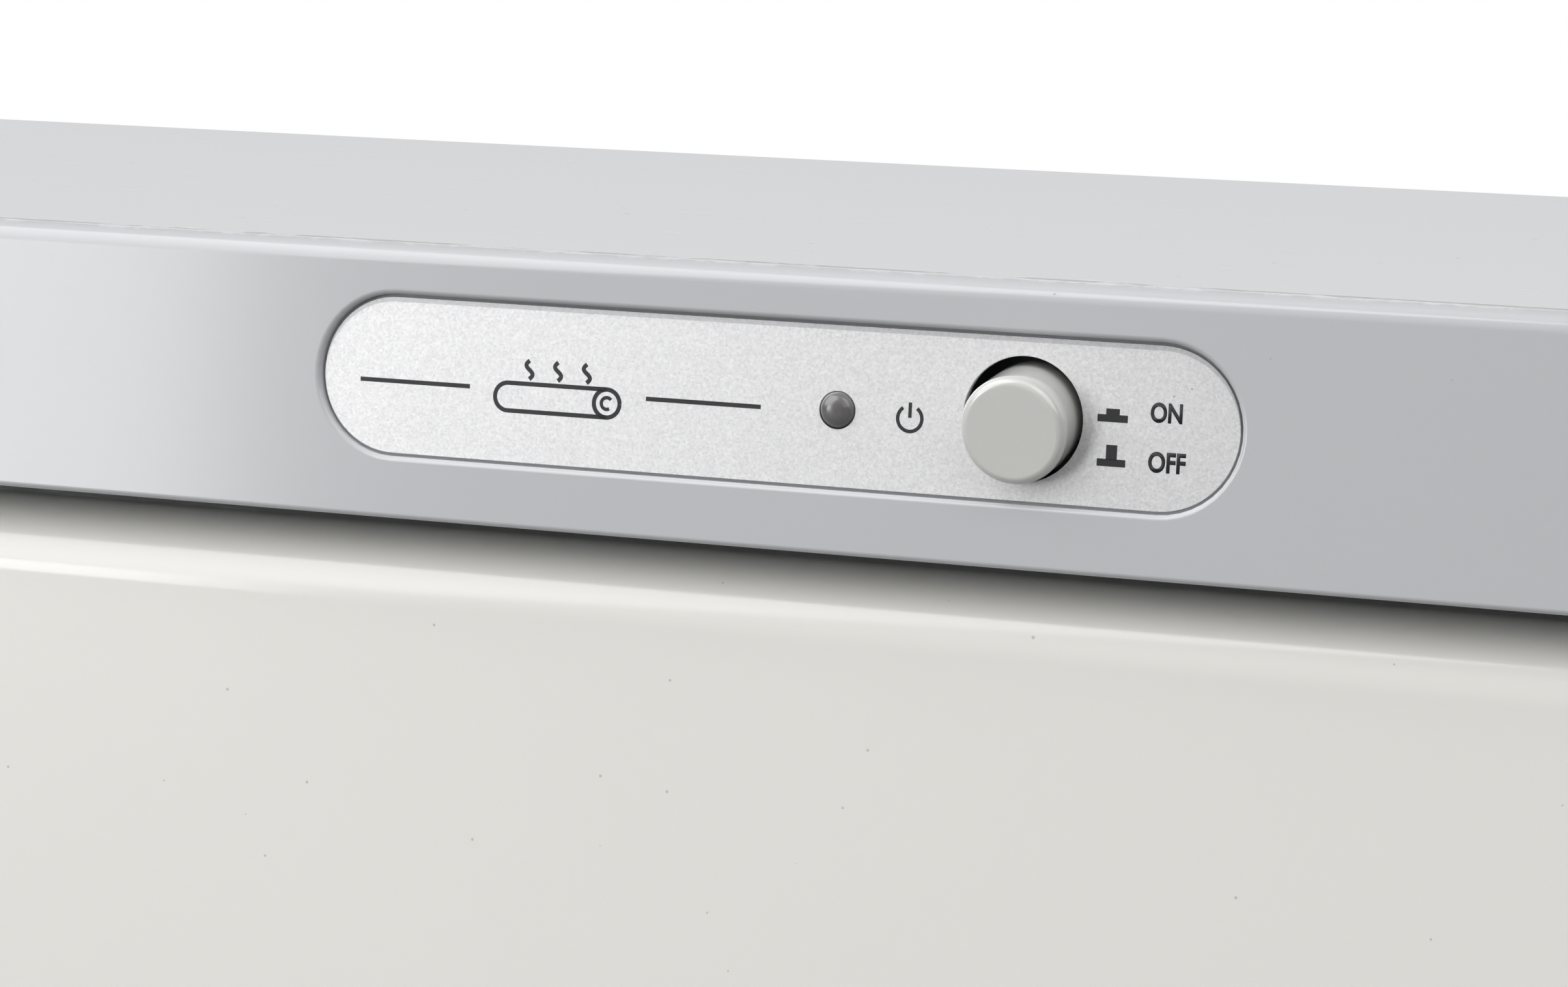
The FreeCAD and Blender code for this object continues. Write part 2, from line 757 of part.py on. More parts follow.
def casing_wrap():
    body = new_body("casing_wrap")
    block = rectangle(new_sketch(body, "XZ", seam), -half_width, half_width, pan_bottom, top)
    pad(body, block, rear - seam)
    fillet(
        body,
        S["case_bend"],
        lambda edge: lies_at(edge, x=half_width, z=top),
        lambda edge: lies_at(edge, x=-half_width, z=top),
    )

    def open_side(face):
        flat = face.Surface.isPlanar()
        ends = (float(seam), float(rear))
        middle = face.CenterOfMass
        at_ends = min(abs(middle.y - end) for end in ends) < 1e-4
        return flat and (at_ends or abs(middle.z - float(pan_bottom)) < 1e-4)

    open_faces(body, S["steel_gauge"], open_side)
    holes = new_sketch(body, "YZ", 0, "side_screws")
    discs(holes, [(frame_screw_deep, level) for level in frame_screw_levels], S["screw_radius"])
    discs(holes, [(deep, pan_screw_level) for deep in pan_screw_deeps], S["screw_radius"])
    pocket(body, holes, S["cabinet_width"] + SPARE, both=True)
    return body


def base_pan():
    body = new_body("base_pan")
    front_edge = front + S["edge_radius"] + PAN_SET
    back_edge = rear_inner - S["sleeve_fit"]
    floor = rectangle(
        new_sketch(body, "XY", pan_bottom), -sleeve_half, sleeve_half, front_edge, back_edge
    )
    pad(body, floor, S["steel_gauge"])
    walls = new_sketch(body, "XY", floor_level, "flanges")
    start = frame_back + PAN_SET
    inner = pan_half - S["steel_gauge"]
    outline(
        walls,
        [
            (-pan_half, start),
            (-inner, start),
            (-inner, back_edge - S["steel_gauge"]),
            (inner, back_edge - S["steel_gauge"]),
            (inner, start),
            (pan_half, start),
            (pan_half, back_edge),
            (-pan_half, back_edge),
        ],
    )
    pad(body, walls, PAN_FLANGE)
    holes = new_sketch(body, "YZ", 0, "side_screws")
    discs(holes, [(deep, pan_screw_level) for deep in pan_screw_deeps], S["screw_radius"])
    pocket(body, holes, pan_half * 2 + SPARE, both=True)
    feet = new_sketch(body, "XY", floor_level + PAST, "foot_screws")
    discs(feet, foot_places(), S["screw_radius"])
    pocket(body, feet, S["steel_gauge"] + PAST * 2, along=-1)
    back = new_sketch(body, "XZ", rear_inner - SPARE, "rear_screws")
    discs(back, both_sides(rear_screw_across, [pan_screw_level]), S["screw_radius"])
    pocket(body, back, SPARE + PAST)
    return body


def rear_panel():
    """A flat sheet with side flanges, vent hoods raised behind slots, and the gland's hole."""
    body = new_body("rear_panel")
    plate = rectangle(
        new_sketch(body, "XZ", rear_inner), -sleeve_half, sleeve_half, floor_level, sleeve_top
    )
    pad(body, plate, S["steel_gauge"])
    fillet(
        body,
        S["case_bend"] - S["steel_gauge"] - S["sleeve_fit"],
        lambda edge: lies_at(edge, x=sleeve_half, z=sleeve_top),
        lambda edge: lies_at(edge, x=-sleeve_half, z=sleeve_top),
    )

    hood_top = top - HOOD_DROP
    louvre_half = S["louvre_width"] / 2
    stand = S["louvre_stand"]
    gauge = S["steel_gauge"]
    hood_mouth = hood_top - stand * HOOD_DEPTH
    hood = outline(
        new_sketch(body, "YZ", 0, "hood"),
        [
            (rear - gauge, hood_top),
            (rear + stand - gauge, hood_top - stand),
            (rear + stand - gauge, hood_mouth),
            (rear + stand, hood_mouth),
            (rear + stand, hood_top - stand + gauge * (SLOPE - 1)),
            (rear, hood_top + gauge * SLOPE),
            (rear - gauge, hood_top + gauge * SLOPE),
        ],
    )
    hoods = pad(body, hood, S["louvre_width"], both=True)
    slot = rectangle(
        new_sketch(body, "XZ", rear_inner - PAST, "slot"),
        gauge - louvre_half,
        louvre_half - gauge,
        hood_mouth,
        hood_top - gauge,
    )
    slots = pocket(body, slot, gauge + PAST)
    repeat(body, [hoods, slots], "Z_Axis", S["louvre_pitch"], S["louvre_count"]).Reversed = True

    holes = new_sketch(body, "XZ", rear_inner - PAST, "holes")
    disc(holes, S["gland_right"], gland_level, S["gland_radius"])
    discs(holes, both_sides(rear_screw_across, rear_screw_levels), S["screw_radius"])
    pocket(body, holes, gauge + PAST * 2)

    bends = new_sketch(body, "XZ", rear_inner, "flanges")
    for side in (-1, 1):
        near = side * (half_width - gauge - S["sleeve_fit"])
        rectangle(
            bends,
            *sorted((near, near - gauge * side), key=float),
            floor_level + PAN_FLANGE + REAR_CORNER_RELIEF,
            sleeve_top - S["case_bend"],
        )
    pad(body, bends, REAR_FLANGE, along=-1)
    return body


# Feet

FOOT_WELL_ROOM = 1
FOOT_WELL_SHARE = 0.5
FOOT_TAPER = 1.5
FOOT_CHAMFER = 1


def foot_places():
    """Where the four feet stand, seen from above."""
    across = half_width - S["foot_inset"]
    return [
        (side, deep)
        for side in (-across, across)
        for deep in (front + S["foot_inset"], rear - S["foot_inset"])
    ]


def foot(name, across, deep):
    """A tapered rubber foot, dished underneath for its screw."""
    body = new_body(name)
    rise = S["foot_height"]
    wide = S["foot_radius"]
    well = S["screw_head"] + FOOT_WELL_ROOM
    well_top = rise * FOOT_WELL_SHARE
    shape = outline(
        new_sketch(body, "XZ"),
        [
            (well, 0),
            (wide - FOOT_TAPER - FOOT_CHAMFER, 0),
            (wide - FOOT_TAPER, FOOT_CHAMFER),
            (wide, rise),
            (S["screw_radius"], rise),
            (S["screw_radius"], well_top),
            (well, well_top),
        ],
    )
    turned(body, "Revolution", shape, "V_Axis")
    place(body, across, deep, 0)
    return body


# Name plate, lamp and push switch

DOME_PROFILE = ((0, 0), (0.5, 0.13), (0.83, 0.46), (1, 1))
COLLAR_SET = 0.4
COLLAR_THICK = 1
LENS_STEM = 5
HOLDER_WALL = 0.9
HOLDER_GRIP = 4
HOLDER_LENGTH = 9
HOLDER_TAG_REACH = 1.4
HOLDER_TAG = {"thick": 0.6, "wide": 2, "length": 5}
SWITCH_TAG_REACH = 4
SWITCH_TAG = {"thick": 0.8, "wide": 3, "length": 6}
BUTTON_FACE_WALL = 1.7
SOCKET_FLOOR = 1
SOCKET_WALL = 1.3
SOCKET_ROOM = 1.3
NOSE_WALL = 1.3
NOSE_FRONT = 1.6
STEM_ROOM = 0.2
STEM_PAST_SPRING = 7
SPRING_COLLAR = 1.4
SPRING_COLLAR_BACK = 4
SPRING_ROOM = 0.3
SPRING_SHARE = 0.6
SPRING_WIRE = 0.5
SPRING_TURNS = 6
FOLD_ABOVE = 2.2
FOLD_LENGTH = 6

lamp_level = plate_level - S["lamp_drop"]
lamp_across = S["plate_right"] + S["lamp_right"]
plate_front = front + fascia_at_plate + plate_sink
bracket_front = front + S["bracket_back"]
bracket_rear = bracket_front + S["bracket_gauge"]
snout_front = bracket_rear - S["snout_length"]
switch_back = bracket_rear + S["switch_length"]
spring_seat = snout_front + SPRING_COLLAR_BACK
spring_end = bracket_rear + S["switch_length"] * SPRING_SHARE
nose_bore = S["snout_radius"] - NOSE_WALL
socket_radius = S["plunger_radius"] + SOCKET_WALL
socket_start = BUTTON_FACE_WALL + SOCKET_FLOOR


def solder_tags(body, sketch, places, tag):
    """Flat tags of one size on edge, at places in a sketch."""
    half_thick = tag["thick"] / 2
    half_wide = tag["wide"] / 2
    for across, up in places:
        rectangle(sketch, across - half_thick, across + half_thick, up - half_wide, up + half_wide)
    return pad(body, sketch, tag["length"])


def name_plate():
    body = new_body("name_plate")
    pill = stadium(
        new_sketch(body, "XZ"), S["recess_reach"], S["recess_radius"] - S["plate_fit"]
    )
    pad(body, pill, S["plate_thick"])
    holes = new_sketch(body, "XZ", -PAST, "holes")
    disc(holes, S["button_right"], 0, S["button_hole"])
    disc(holes, S["lamp_right"], -S["lamp_drop"], S["lamp_radius"] + LOOSE)
    pocket(body, holes, S["plate_thick"] + PAST * 2)
    place(
        body,
        S["plate_right"],
        front + fascia_at_plate + plate_sink * cosine(S["fascia_lean"]),
        plate_level - plate_sink * sine(S["fascia_lean"]),
        lean=S["fascia_lean"],
    )
    return body


def power_lamp():
    """The smoked lens: a dome on a short stem with a collar behind the plate."""
    body = new_body("power_lamp")
    dome = S["lamp_dome"]
    radius = S["lamp_radius"]
    sketch = new_sketch(body, "XY")
    collar_front = dome + S["plate_thick"] + COLLAR_SET
    outline(
        sketch,
        [(radius * across, dome * deep) for across, deep in DOME_PROFILE]
        + [
            (radius, collar_front),
            (radius + LENS_COLLAR, collar_front),
            (radius + LENS_COLLAR, collar_front + COLLAR_THICK),
            (radius, collar_front + COLLAR_THICK),
            (radius, collar_front + LENS_STEM),
            (0, collar_front + LENS_STEM),
        ],
    )
    turned(body, "Revolution", sketch, "V_Axis")
    place(body, lamp_across, plate_front - dome, lamp_level)
    return body


def lamp_holder():
    """A sleeve pushed over the back of the lens, with its two solder tags."""
    body = new_body("lamp_holder")
    inner = S["lamp_radius"]
    outer = inner + HOLDER_WALL
    rim = new_sketch(body, "XZ")
    disc(rim, 0, 0, outer)
    disc(rim, 0, 0, inner)
    pad(body, rim, HOLDER_GRIP)
    plug = disc(new_sketch(body, "XZ", HOLDER_GRIP, "plug"), 0, 0, outer)
    pad(body, plug, HOLDER_LENGTH)
    tags = new_sketch(body, "XZ", HOLDER_GRIP + HOLDER_LENGTH, "tags")
    solder_tags(body, tags, [(-HOLDER_TAG_REACH, 0), (HOLDER_TAG_REACH, 0)], HOLDER_TAG)
    behind_collar = plate_front + S["plate_thick"] + COLLAR_SET + COLLAR_THICK
    place(body, lamp_across, behind_collar, lamp_level)
    return body


def power_button():
    """A cup-shaped cap with a rounded front edge and a socket for the stem."""
    body = new_body("power_button")
    radius = S["button_radius"]
    wall = S["button_wall"]
    length = S["button_length"]
    cap = disc(new_sketch(body, "XZ"), 0, 0, radius)
    pad(body, cap, length)
    fillet(body, S["button_round"], lambda edge: lies_at(edge, y=0))
    hollow = new_sketch(body, "XZ", BUTTON_FACE_WALL, "hollow")
    disc(hollow, 0, 0, radius - wall)
    disc(hollow, 0, 0, socket_radius)
    pocket(body, hollow, length)
    bore = disc(new_sketch(body, "XZ", socket_start, "bore"), 0, 0, S["plunger_radius"])
    pocket(body, bore, length)
    short = S["button_travel"] + SOCKET_ROOM
    trim = disc(new_sketch(body, "XZ", length - short, "trim"), 0, 0, socket_radius + PAST)
    pocket(body, trim, short + PAST)
    place(body, button_across, button_face, button_level)
    return body


def switch_plunger():
    """The stem of the switch with the collar that the spring pushes on."""
    body = new_body("switch_plunger")
    start = button_face + socket_start
    stem = disc(new_sketch(body, "XZ", start), 0, 0, S["plunger_radius"])
    pad(body, stem, spring_seat + STEM_PAST_SPRING - start)
    collar = new_sketch(body, "XZ", spring_seat - SPRING_COLLAR, "collar")
    pad(body, disc(collar, 0, 0, nose_bore - SPRING_ROOM), SPRING_COLLAR)
    place(body, button_across, 0, button_level)
    return body


def switch_body():
    """The square case with its round nose, bored for the stem, the collar and the spring."""
    body = new_body("switch_body")
    half = S["switch_side"] / 2
    case = rectangle(new_sketch(body, "XZ", bracket_rear), -half, half, -half, half)
    pad(body, case, S["switch_length"])
    nose = disc(new_sketch(body, "XZ", snout_front, "nose"), 0, 0, S["snout_radius"])
    pad(body, nose, S["snout_length"])
    bore = outline(
        new_sketch(body, "XY", 0, "bore"),
        [
            (0, snout_front - PAST),
            (S["plunger_radius"] + STEM_ROOM, snout_front - PAST),
            (S["plunger_radius"] + STEM_ROOM, snout_front + NOSE_FRONT),
            (nose_bore, snout_front + NOSE_FRONT),
            (nose_bore, spring_end),
            (0, spring_end),
        ],
    )
    turned(body, "Groove", bore, "V_Axis")
    tags = new_sketch(body, "XZ", switch_back, "tags")
    tag_levels = [-SWITCH_TAG_REACH, SWITCH_TAG_REACH]
    solder_tags(body, tags, both_sides(SWITCH_TAG_REACH, tag_levels), SWITCH_TAG)
    place(body, button_across, 0, button_level)
    return body


def switch_spring():
    """The return spring round the stem: round wire wound along a helix."""
    body = new_body("switch_spring")
    end_room = SPRING_WIRE + LOOSE
    height = spring_end - spring_seat - end_room * 2
    wire = disc(
        new_sketch(body, "XY", 0, "wire"), nose_bore - SPRING_ROOM - SPRING_WIRE, 0, SPRING_WIRE
    )
    coil = body.newObject("PartDesign::AdditiveHelix", "switch_spring_coil")
    coil.Profile = wire
    coil.ReferenceAxis = (wire, ["V_Axis"])
    coil.Mode = "height-turns-angle"
    coil.Height = float(height)
    bind(coil, "Height", height)
    coil.Turns = SPRING_TURNS
    place(body, button_across, spring_seat + end_room, button_level)
    return body


def switch_bracket():
    """The plate that carries the switch on the two bosses of the fascia."""
    body = new_body("switch_bracket")
    reach = S["bracket_reach"] + BOSS_RADIUS
    gauge = S["bracket_gauge"]
    half = S["switch_side"] / 2
    fold_top = half + FOLD_ABOVE
    plate = rectangle(new_sketch(body, "XZ", bracket_front), -reach, reach, -half, fold_top)
    pad(body, plate, gauge)
    fold = rectangle(
        new_sketch(body, "XZ", bracket_rear, "fold"), -reach, reach, fold_top - gauge, fold_top
    )
    pad(body, fold, FOLD_LENGTH)
    holes = new_sketch(body, "XZ", bracket_front - PAST, "holes")
    disc(holes, 0, 0, S["snout_radius"] + LOOSE)
    discs(holes, both_sides(S["bracket_reach"], [0]), S["screw_radius"])
    pocket(body, holes, gauge + PAST * 2)
    place(body, button_across, 0, button_level)
    return body


# Warming chamber, its insulation, heaters and controls

DRAIN_BEHIND_FRAME = 14
DRAIN_ROOM = 0.5
DRAIN_ABOVE_TRAY = 2
MAT_GAP = 0.2
MAT_CORNER = 6
MAT_FRONT = 34
MAT_BACK = 14
MAT_SIDE = 24
MAT_EDGE = 22
NOTCH_ROOM = 1
HEAD_ROOM = 0.5
CONTROLS_BACK = 90
WINDOW_HALF = 34
WINDOW_REACH = 18
THERMOSTAT_LEFT = 16
THERMOSTAT_STEPS = ((11, 0.8), (8, 4), (6.5, 10))
THERMOSTAT_TAG_REACH = 4
THERMOSTAT_TAG = {"thick": 0.8, "wide": 6.2, "length": 7}
FUSE_RIGHT = 17
FUSE_RADIUS = 2
FUSE_LENGTH = 12
LEAD_RADIUS = 0.5
LEAD_LENGTH = 26
STRAP_WIDE = 6
STRAP_LONG = 12
STRAP_THICK = 1

chamber_out = S["chamber_gauge"]
chamber_left = mouth_half + chamber_out
chamber_low = mouth_bottom - chamber_out
chamber_high = mouth_top + chamber_out
drain_deep = frame_back + DRAIN_BEHIND_FRAME
drain_outer = S["drain_radius"] + S["drain_wall"]
jacket_half = chamber_left + S["heater_thick"] + MAT_GAP + S["jacket_thick"]
jacket_low = chamber_low - S["heater_thick"] - MAT_GAP - S["jacket_thick"]
jacket_high = chamber_high + S["jacket_thick"]
window_deep = frame_back + CONTROLS_BACK
chamber_screw_places = both_sides(chamber_screw_across, chamber_screw_levels)


def warming_chamber():
    body = new_body("warming_chamber")
    block = rectangle(
        new_sketch(body, "XZ", frame_back), -chamber_left, chamber_left, chamber_low, chamber_high
    )
    pad(body, block, chamber_back - frame_back)
    corners = []
    for across in (-chamber_left, chamber_left):
        for level in (chamber_low, chamber_high):
            corners.append(
                lambda edge, across=across, level=level: lies_at(edge, x=across, z=level)
            )
    fillet(body, S["chamber_corner"], *corners)
    open_faces(
        body,
        chamber_out,
        lambda face: face.Surface.isPlanar() and abs(face.CenterOfMass.y - float(frame_back)) < 1e-4,
    )
    flange = new_sketch(body, "XZ", frame_back, "flange")
    wide = mouth_half + S["chamber_flange"]
    rectangle(
        flange,
        -wide,
        wide,
        mouth_bottom - S["chamber_flange"],
        mouth_top + S["chamber_flange"],
    )
    rectangle(flange, -mouth_half, mouth_half, mouth_bottom, mouth_top)
    pad(body, flange, chamber_out)
    holes = new_sketch(body, "XZ", frame_back - PAST, "flange_screws")
    discs(holes, chamber_screw_places, S["screw_radius"])
    pocket(body, holes, chamber_out + PAST * 2)
    magnet_notch = rectangle(
        new_sketch(body, "XZ", frame_back - PAST, "magnet_notch"),
        -magnet_half - NOTCH_ROOM,
        magnet_half + NOTCH_ROOM,
        magnet_bottom - NOTCH_ROOM,
        magnet_top + NOTCH_ROOM,
    )
    pocket(body, magnet_notch, chamber_out + PAST * 2)
    drain = disc(
        new_sketch(body, "XY", mouth_bottom + PAST, "drain"), 0, drain_deep, drain_outer
    )
    pocket(body, drain, chamber_out + PAST * 2, along=-1)
    return body


def insulation_jacket():
    body = new_body("insulation_jacket")
    start = frame_back + chamber_out + S["seat_gap"]
    block = rectangle(
        new_sketch(body, "XZ", start), -jacket_half, jacket_half, jacket_low, jacket_high
    )
    pad(body, block, jacket_back - start)
    inner = jacket_half - S["jacket_thick"]
    hollow = rectangle(
        new_sketch(body, "XZ", start - PAST, "hollow"),
        -inner,
        inner,
        jacket_low + S["jacket_thick"],
        chamber_high,
    )
    pocket(body, hollow, chamber_back - start + PAST)
    drain = disc(
        new_sketch(body, "XY", chamber_low, "drain"), 0, drain_deep, drain_outer + DRAIN_ROOM
    )
    pocket(body, drain, S["jacket_thick"] + SPARE, along=-1)
    notch = rectangle(
        new_sketch(body, "XZ", start - PAST, "magnet_notch"),
        -magnet_half - NOTCH_ROOM * 2,
        magnet_half + NOTCH_ROOM * 2,
        magnet_bottom - NOTCH_ROOM * 2,
        jacket_high + PAST,
    )
    pocket(body, notch, seal_face + S["magnet_depth"] - start + NOTCH_ROOM * 2)
    heads = new_sketch(body, "XZ", start - PAST, "screw_heads")
    discs(heads, chamber_screw_places, S["screw_head"] + HEAD_ROOM)
    pocket(body, heads, S["screw_cap"] + PAST)
    window = rectangle(
        new_sketch(body, "XY", jacket_high + PAST, "window"),
        -WINDOW_HALF,
        WINDOW_HALF,
        window_deep - WINDOW_REACH,
        window_deep + WINDOW_REACH,
    )
    pocket(body, window, S["jacket_thick"] + PAST, along=-1)
    return body


def heater(name, plane, level, outline_box, along):
    """A foil heating mat with rounded corners, stuck to the outside of the chamber."""
    body = new_body(name)
    left, right, low, high = outline_box
    mat = rectangle(new_sketch(body, plane, level), left, right, low, high)
    pad(body, mat, S["heater_thick"], along)
    fillet(body, MAT_CORNER, corner_along({"XY": "z", "YZ": "x"}[plane]))
    return body


def heaters():
    start = frame_back + MAT_FRONT
    stop = chamber_back - MAT_BACK
    wide = chamber_left - MAT_SIDE
    low = chamber_low + MAT_EDGE
    high = chamber_high - MAT_EDGE
    heater("floor_heater", "XY", chamber_low, (-wide, wide, start, stop), -1)
    heater("left_heater", "YZ", -chamber_left, (start, stop, low, high), -1)
    heater("right_heater", "YZ", chamber_left, (start, stop, low, high), 1)


def thermostat():
    """A snap-disc thermostat: its cup on the chamber, a ceramic body and two tabs."""
    body = new_body("thermostat")
    profile = [(0, 0)]
    below = 0
    for radius, above in THERMOSTAT_STEPS:
        profile += [(radius, below), (radius, above)]
        below = above
    shape = outline(new_sketch(body, "XZ"), profile + [(0, below)])
    turned(body, "Revolution", shape, "V_Axis")
    tag_places = [(-THERMOSTAT_TAG_REACH, 0), (THERMOSTAT_TAG_REACH, 0)]
    solder_tags(body, new_sketch(body, "XY", below, "tags"), tag_places, THERMOSTAT_TAG)
    place(body, -THERMOSTAT_LEFT, window_deep, chamber_high)
    return body


def thermal_fuse():
    """A one-shot fuse with its two leads, clamped flat on the chamber by a strap."""
    body = new_body("thermal_fuse")
    barrel = disc(new_sketch(body, "YZ"), 0, FUSE_RADIUS, FUSE_RADIUS)
    pad(body, barrel, FUSE_LENGTH, both=True)
    leads = disc(new_sketch(body, "YZ", 0, "leads"), 0, FUSE_RADIUS, LEAD_RADIUS)
    pad(body, leads, LEAD_LENGTH, both=True)
    half_wide = STRAP_WIDE / 2
    half_long = STRAP_LONG / 2
    strap = new_sketch(body, "XY", 0, "strap")
    pad(body, rectangle(strap, -half_wide, half_wide, -half_long, half_long), STRAP_THICK)
    place(body, FUSE_RIGHT, window_deep, chamber_high)
    return body


def drain_tube():
    """The silicone tube that leads water from the chamber floor to the drip tray."""
    body = new_body("drain_tube")
    lower_end = tray_top + DRAIN_ABOVE_TRAY
    ring = new_sketch(body, "XY", lower_end)
    disc(ring, 0, drain_deep, drain_outer)
    disc(ring, 0, drain_deep, S["drain_radius"])
    pad(body, ring, mouth_bottom - lower_end)
    return body


SUPPORT_BEHIND_TRAY = 14
SUPPORT_WIDE = 22
SUPPORT_TOE = 8
SUPPORT_SPAN = 1.7


def chamber_support():
    """A folded channel across the base that carries the back of the insulated chamber."""
    body = new_body("chamber_support")
    gauge = S["steel_gauge"]
    near = tray_back + SUPPORT_BEHIND_TRAY
    far = near + SUPPORT_WIDE
    web = jacket_low - gauge
    section = outline(
        new_sketch(body, "YZ", 0),
        [
            (near - SUPPORT_TOE, floor_level),
            (near + gauge, floor_level),
            (near + gauge, web),
            (far - gauge, web),
            (far - gauge, floor_level),
            (far + SUPPORT_TOE, floor_level),
            (far + SUPPORT_TOE, floor_level + gauge),
            (far, floor_level + gauge),
            (far, jacket_low),
            (near, jacket_low),
            (near, floor_level + gauge),
            (near - SUPPORT_TOE, floor_level + gauge),
        ],
    )
    pad(body, section, chamber_left * SUPPORT_SPAN, both=True)
    return body


# Terminals, wiring and the gland for the supply cord

BLOCK_POLES = 3
BLOCK_PITCH = 10
BLOCK_HIGH = 13
BLOCK_DEEP = 13
BLOCK_BASE = 0.6
POLE_GAP = 1
POLE_SET = 2
WELL_RADIUS = 2
WELL_SHARE = 0.5
LOOM_RADIUS = 2.4
LOOM_BEND = 12
GLAND_INSIDE = 10
GLAND_RIM = 0.45
GLAND_TAPER = 0.78
NUT_CORNERS = 1.1
NUT_THICK = 4
block_deep = jacket_back + S["rear_space"] / 2
block_left = button_across - BLOCK_PITCH / 2


def terminal_block():
    """The screw terminal strip on the base pan, one pole for each core."""
    body = new_body("terminal_block")
    half = BLOCK_DEEP / 2
    base = rectangle(
        new_sketch(body, "XY"), 0, BLOCK_POLES * BLOCK_PITCH, -half, half
    )
    base_high = BLOCK_HIGH * BLOCK_BASE
    pad(body, base, base_high)
    pole = rectangle(
        new_sketch(body, "XY", base_high, "pole"),
        POLE_GAP,
        BLOCK_PITCH - POLE_GAP,
        -half + POLE_SET,
        half - POLE_SET,
    )
    poles = pad(body, pole, BLOCK_HIGH - base_high)
    screw = disc(
        new_sketch(body, "XY", BLOCK_HIGH, "screw"), BLOCK_PITCH / 2, 0, WELL_RADIUS
    )
    wells = pocket(body, screw, BLOCK_HIGH * WELL_SHARE, along=-1)
    repeat(body, [poles, wells], "X_Axis", BLOCK_PITCH, BLOCK_POLES)
    place(body, block_left, block_deep, floor_level)
    return body


def wiring_loom():
    """The sleeved wires from the switch, over the jacket and down behind it to the terminals."""
    body = new_body("wiring_loom")
    start = switch_back + SWITCH_TAG["length"] + S["seat_gap"]
    far = block_deep
    bottom = floor_level + BLOCK_HIGH + S["seat_gap"]
    level = button_level
    path = new_sketch(body, "YZ", 0, "route")
    bend = LOOM_BEND
    run = Part.LineSegment(flat_vector((start, level)), flat_vector((far - bend, level)))
    fall = Part.LineSegment(flat_vector((far, level - bend)), flat_vector((far, bottom)))
    turn_circle = Part.Circle(
        flat_vector((far - bend, level - bend)), FreeCAD.Vector(0, 0, 1), bend
    )
    first = path.addGeometry(run, False)
    bent = path.addGeometry(Part.ArcOfCircle(turn_circle, 0, math.pi / 2), False)
    last = path.addGeometry(fall, False)
    path.addConstraint(Sketcher.Constraint("Tangent", first, 2, bent, 2))
    path.addConstraint(Sketcher.Constraint("Tangent", bent, 1, last, 1))
    pin_point(path, first, 1, start, level)
    pin_point(path, last, 2, far, bottom)
    pin_point(path, bent, 3, far - bend, level - bend)
    ring = disc(new_sketch(body, "XZ", start, "section"), 0, level, LOOM_RADIUS)
    sweep = body.newObject("PartDesign::AdditivePipe", "wiring_loom_sweep")
    sweep.Profile = ring
    sweep.Spine = (path, ["Edge1", "Edge2", "Edge3"])
    place(body, button_across, 0, 0)
    return body


def cord_gland():
    """The collar and threaded neck that the supply cord passes through."""
    body = new_body("cord_gland")
    bore = S["gland_bore"]
    neck = S["gland_radius"]
    head = S["gland_head"]
    out = S["gland_out"]
    inside = S["steel_gauge"] + GLAND_INSIDE
    shape = outline(
        new_sketch(body, "XY"),
        [
            (bore, -inside),
            (neck, -inside),
            (neck, 0),
            (head, 0),
            (head, out * GLAND_RIM),
            (head * GLAND_TAPER, out),
            (bore, out),
        ],
    )
    turned(body, "Revolution", shape, "V_Axis")
    place(body, S["gland_right"], rear, gland_level)
    return body


def gland_nut():
    """The six-sided nut inside the rear panel."""
    body = new_body("gland_nut")
    across_corners = S["gland_head"] * NUT_CORNERS
    points = []
    for corner in range(6):
        angle = math.radians(60 * corner)
        points.append((across_corners * math.cos(angle), across_corners * math.sin(angle)))
    nut = outline(new_sketch(body, "XZ", 0), points)
    disc(nut, 0, 0, S["gland_radius"])
    pad(body, nut, NUT_THICK, along=-1)
    place(body, S["gland_right"], rear_inner, gland_level)
    return body


# Racks and the ledges that carry them

RAIL_SHEET = 1
RAIL_FRONT = 12
RAIL_BACK = 10
RACK_SHORT = 2
RACK_CORNER = 9
WELD = 0.35
rail_start = frame_back + RAIL_FRONT
rail_stop = chamber_back - RAIL_BACK
rack_half = mouth_half - S["rack_side_gap"]
rack_front = rail_start + RACK_SHORT
rack_back = rail_stop - RACK_SHORT


def rack_rail(name, side):
    """A folded strip on the chamber's side wall with a ledge for each rack."""
    body = new_body(name)
    wall = (mouth_half - S["seat_gap"]) * side
    inner = wall - RAIL_SHEET * side
    ledge = wall - S["ledge_width"] * side
    lower = mouth_bottom + S["lower_rack_rise"]
    upper = mouth_bottom + S["upper_rack_rise"]
    section = outline(
        new_sketch(body, "XZ", rail_start),
        [
            (wall, lower - RAIL_SHEET),
            (wall, upper),
            (ledge, upper),
            (ledge, upper - RAIL_SHEET),
            (inner, upper - RAIL_SHEET),
            (inner, lower),
            (ledge, lower),
            (ledge, lower - RAIL_SHEET),
        ],
    )
    pad(body, section, rail_stop - rail_start)
    return body


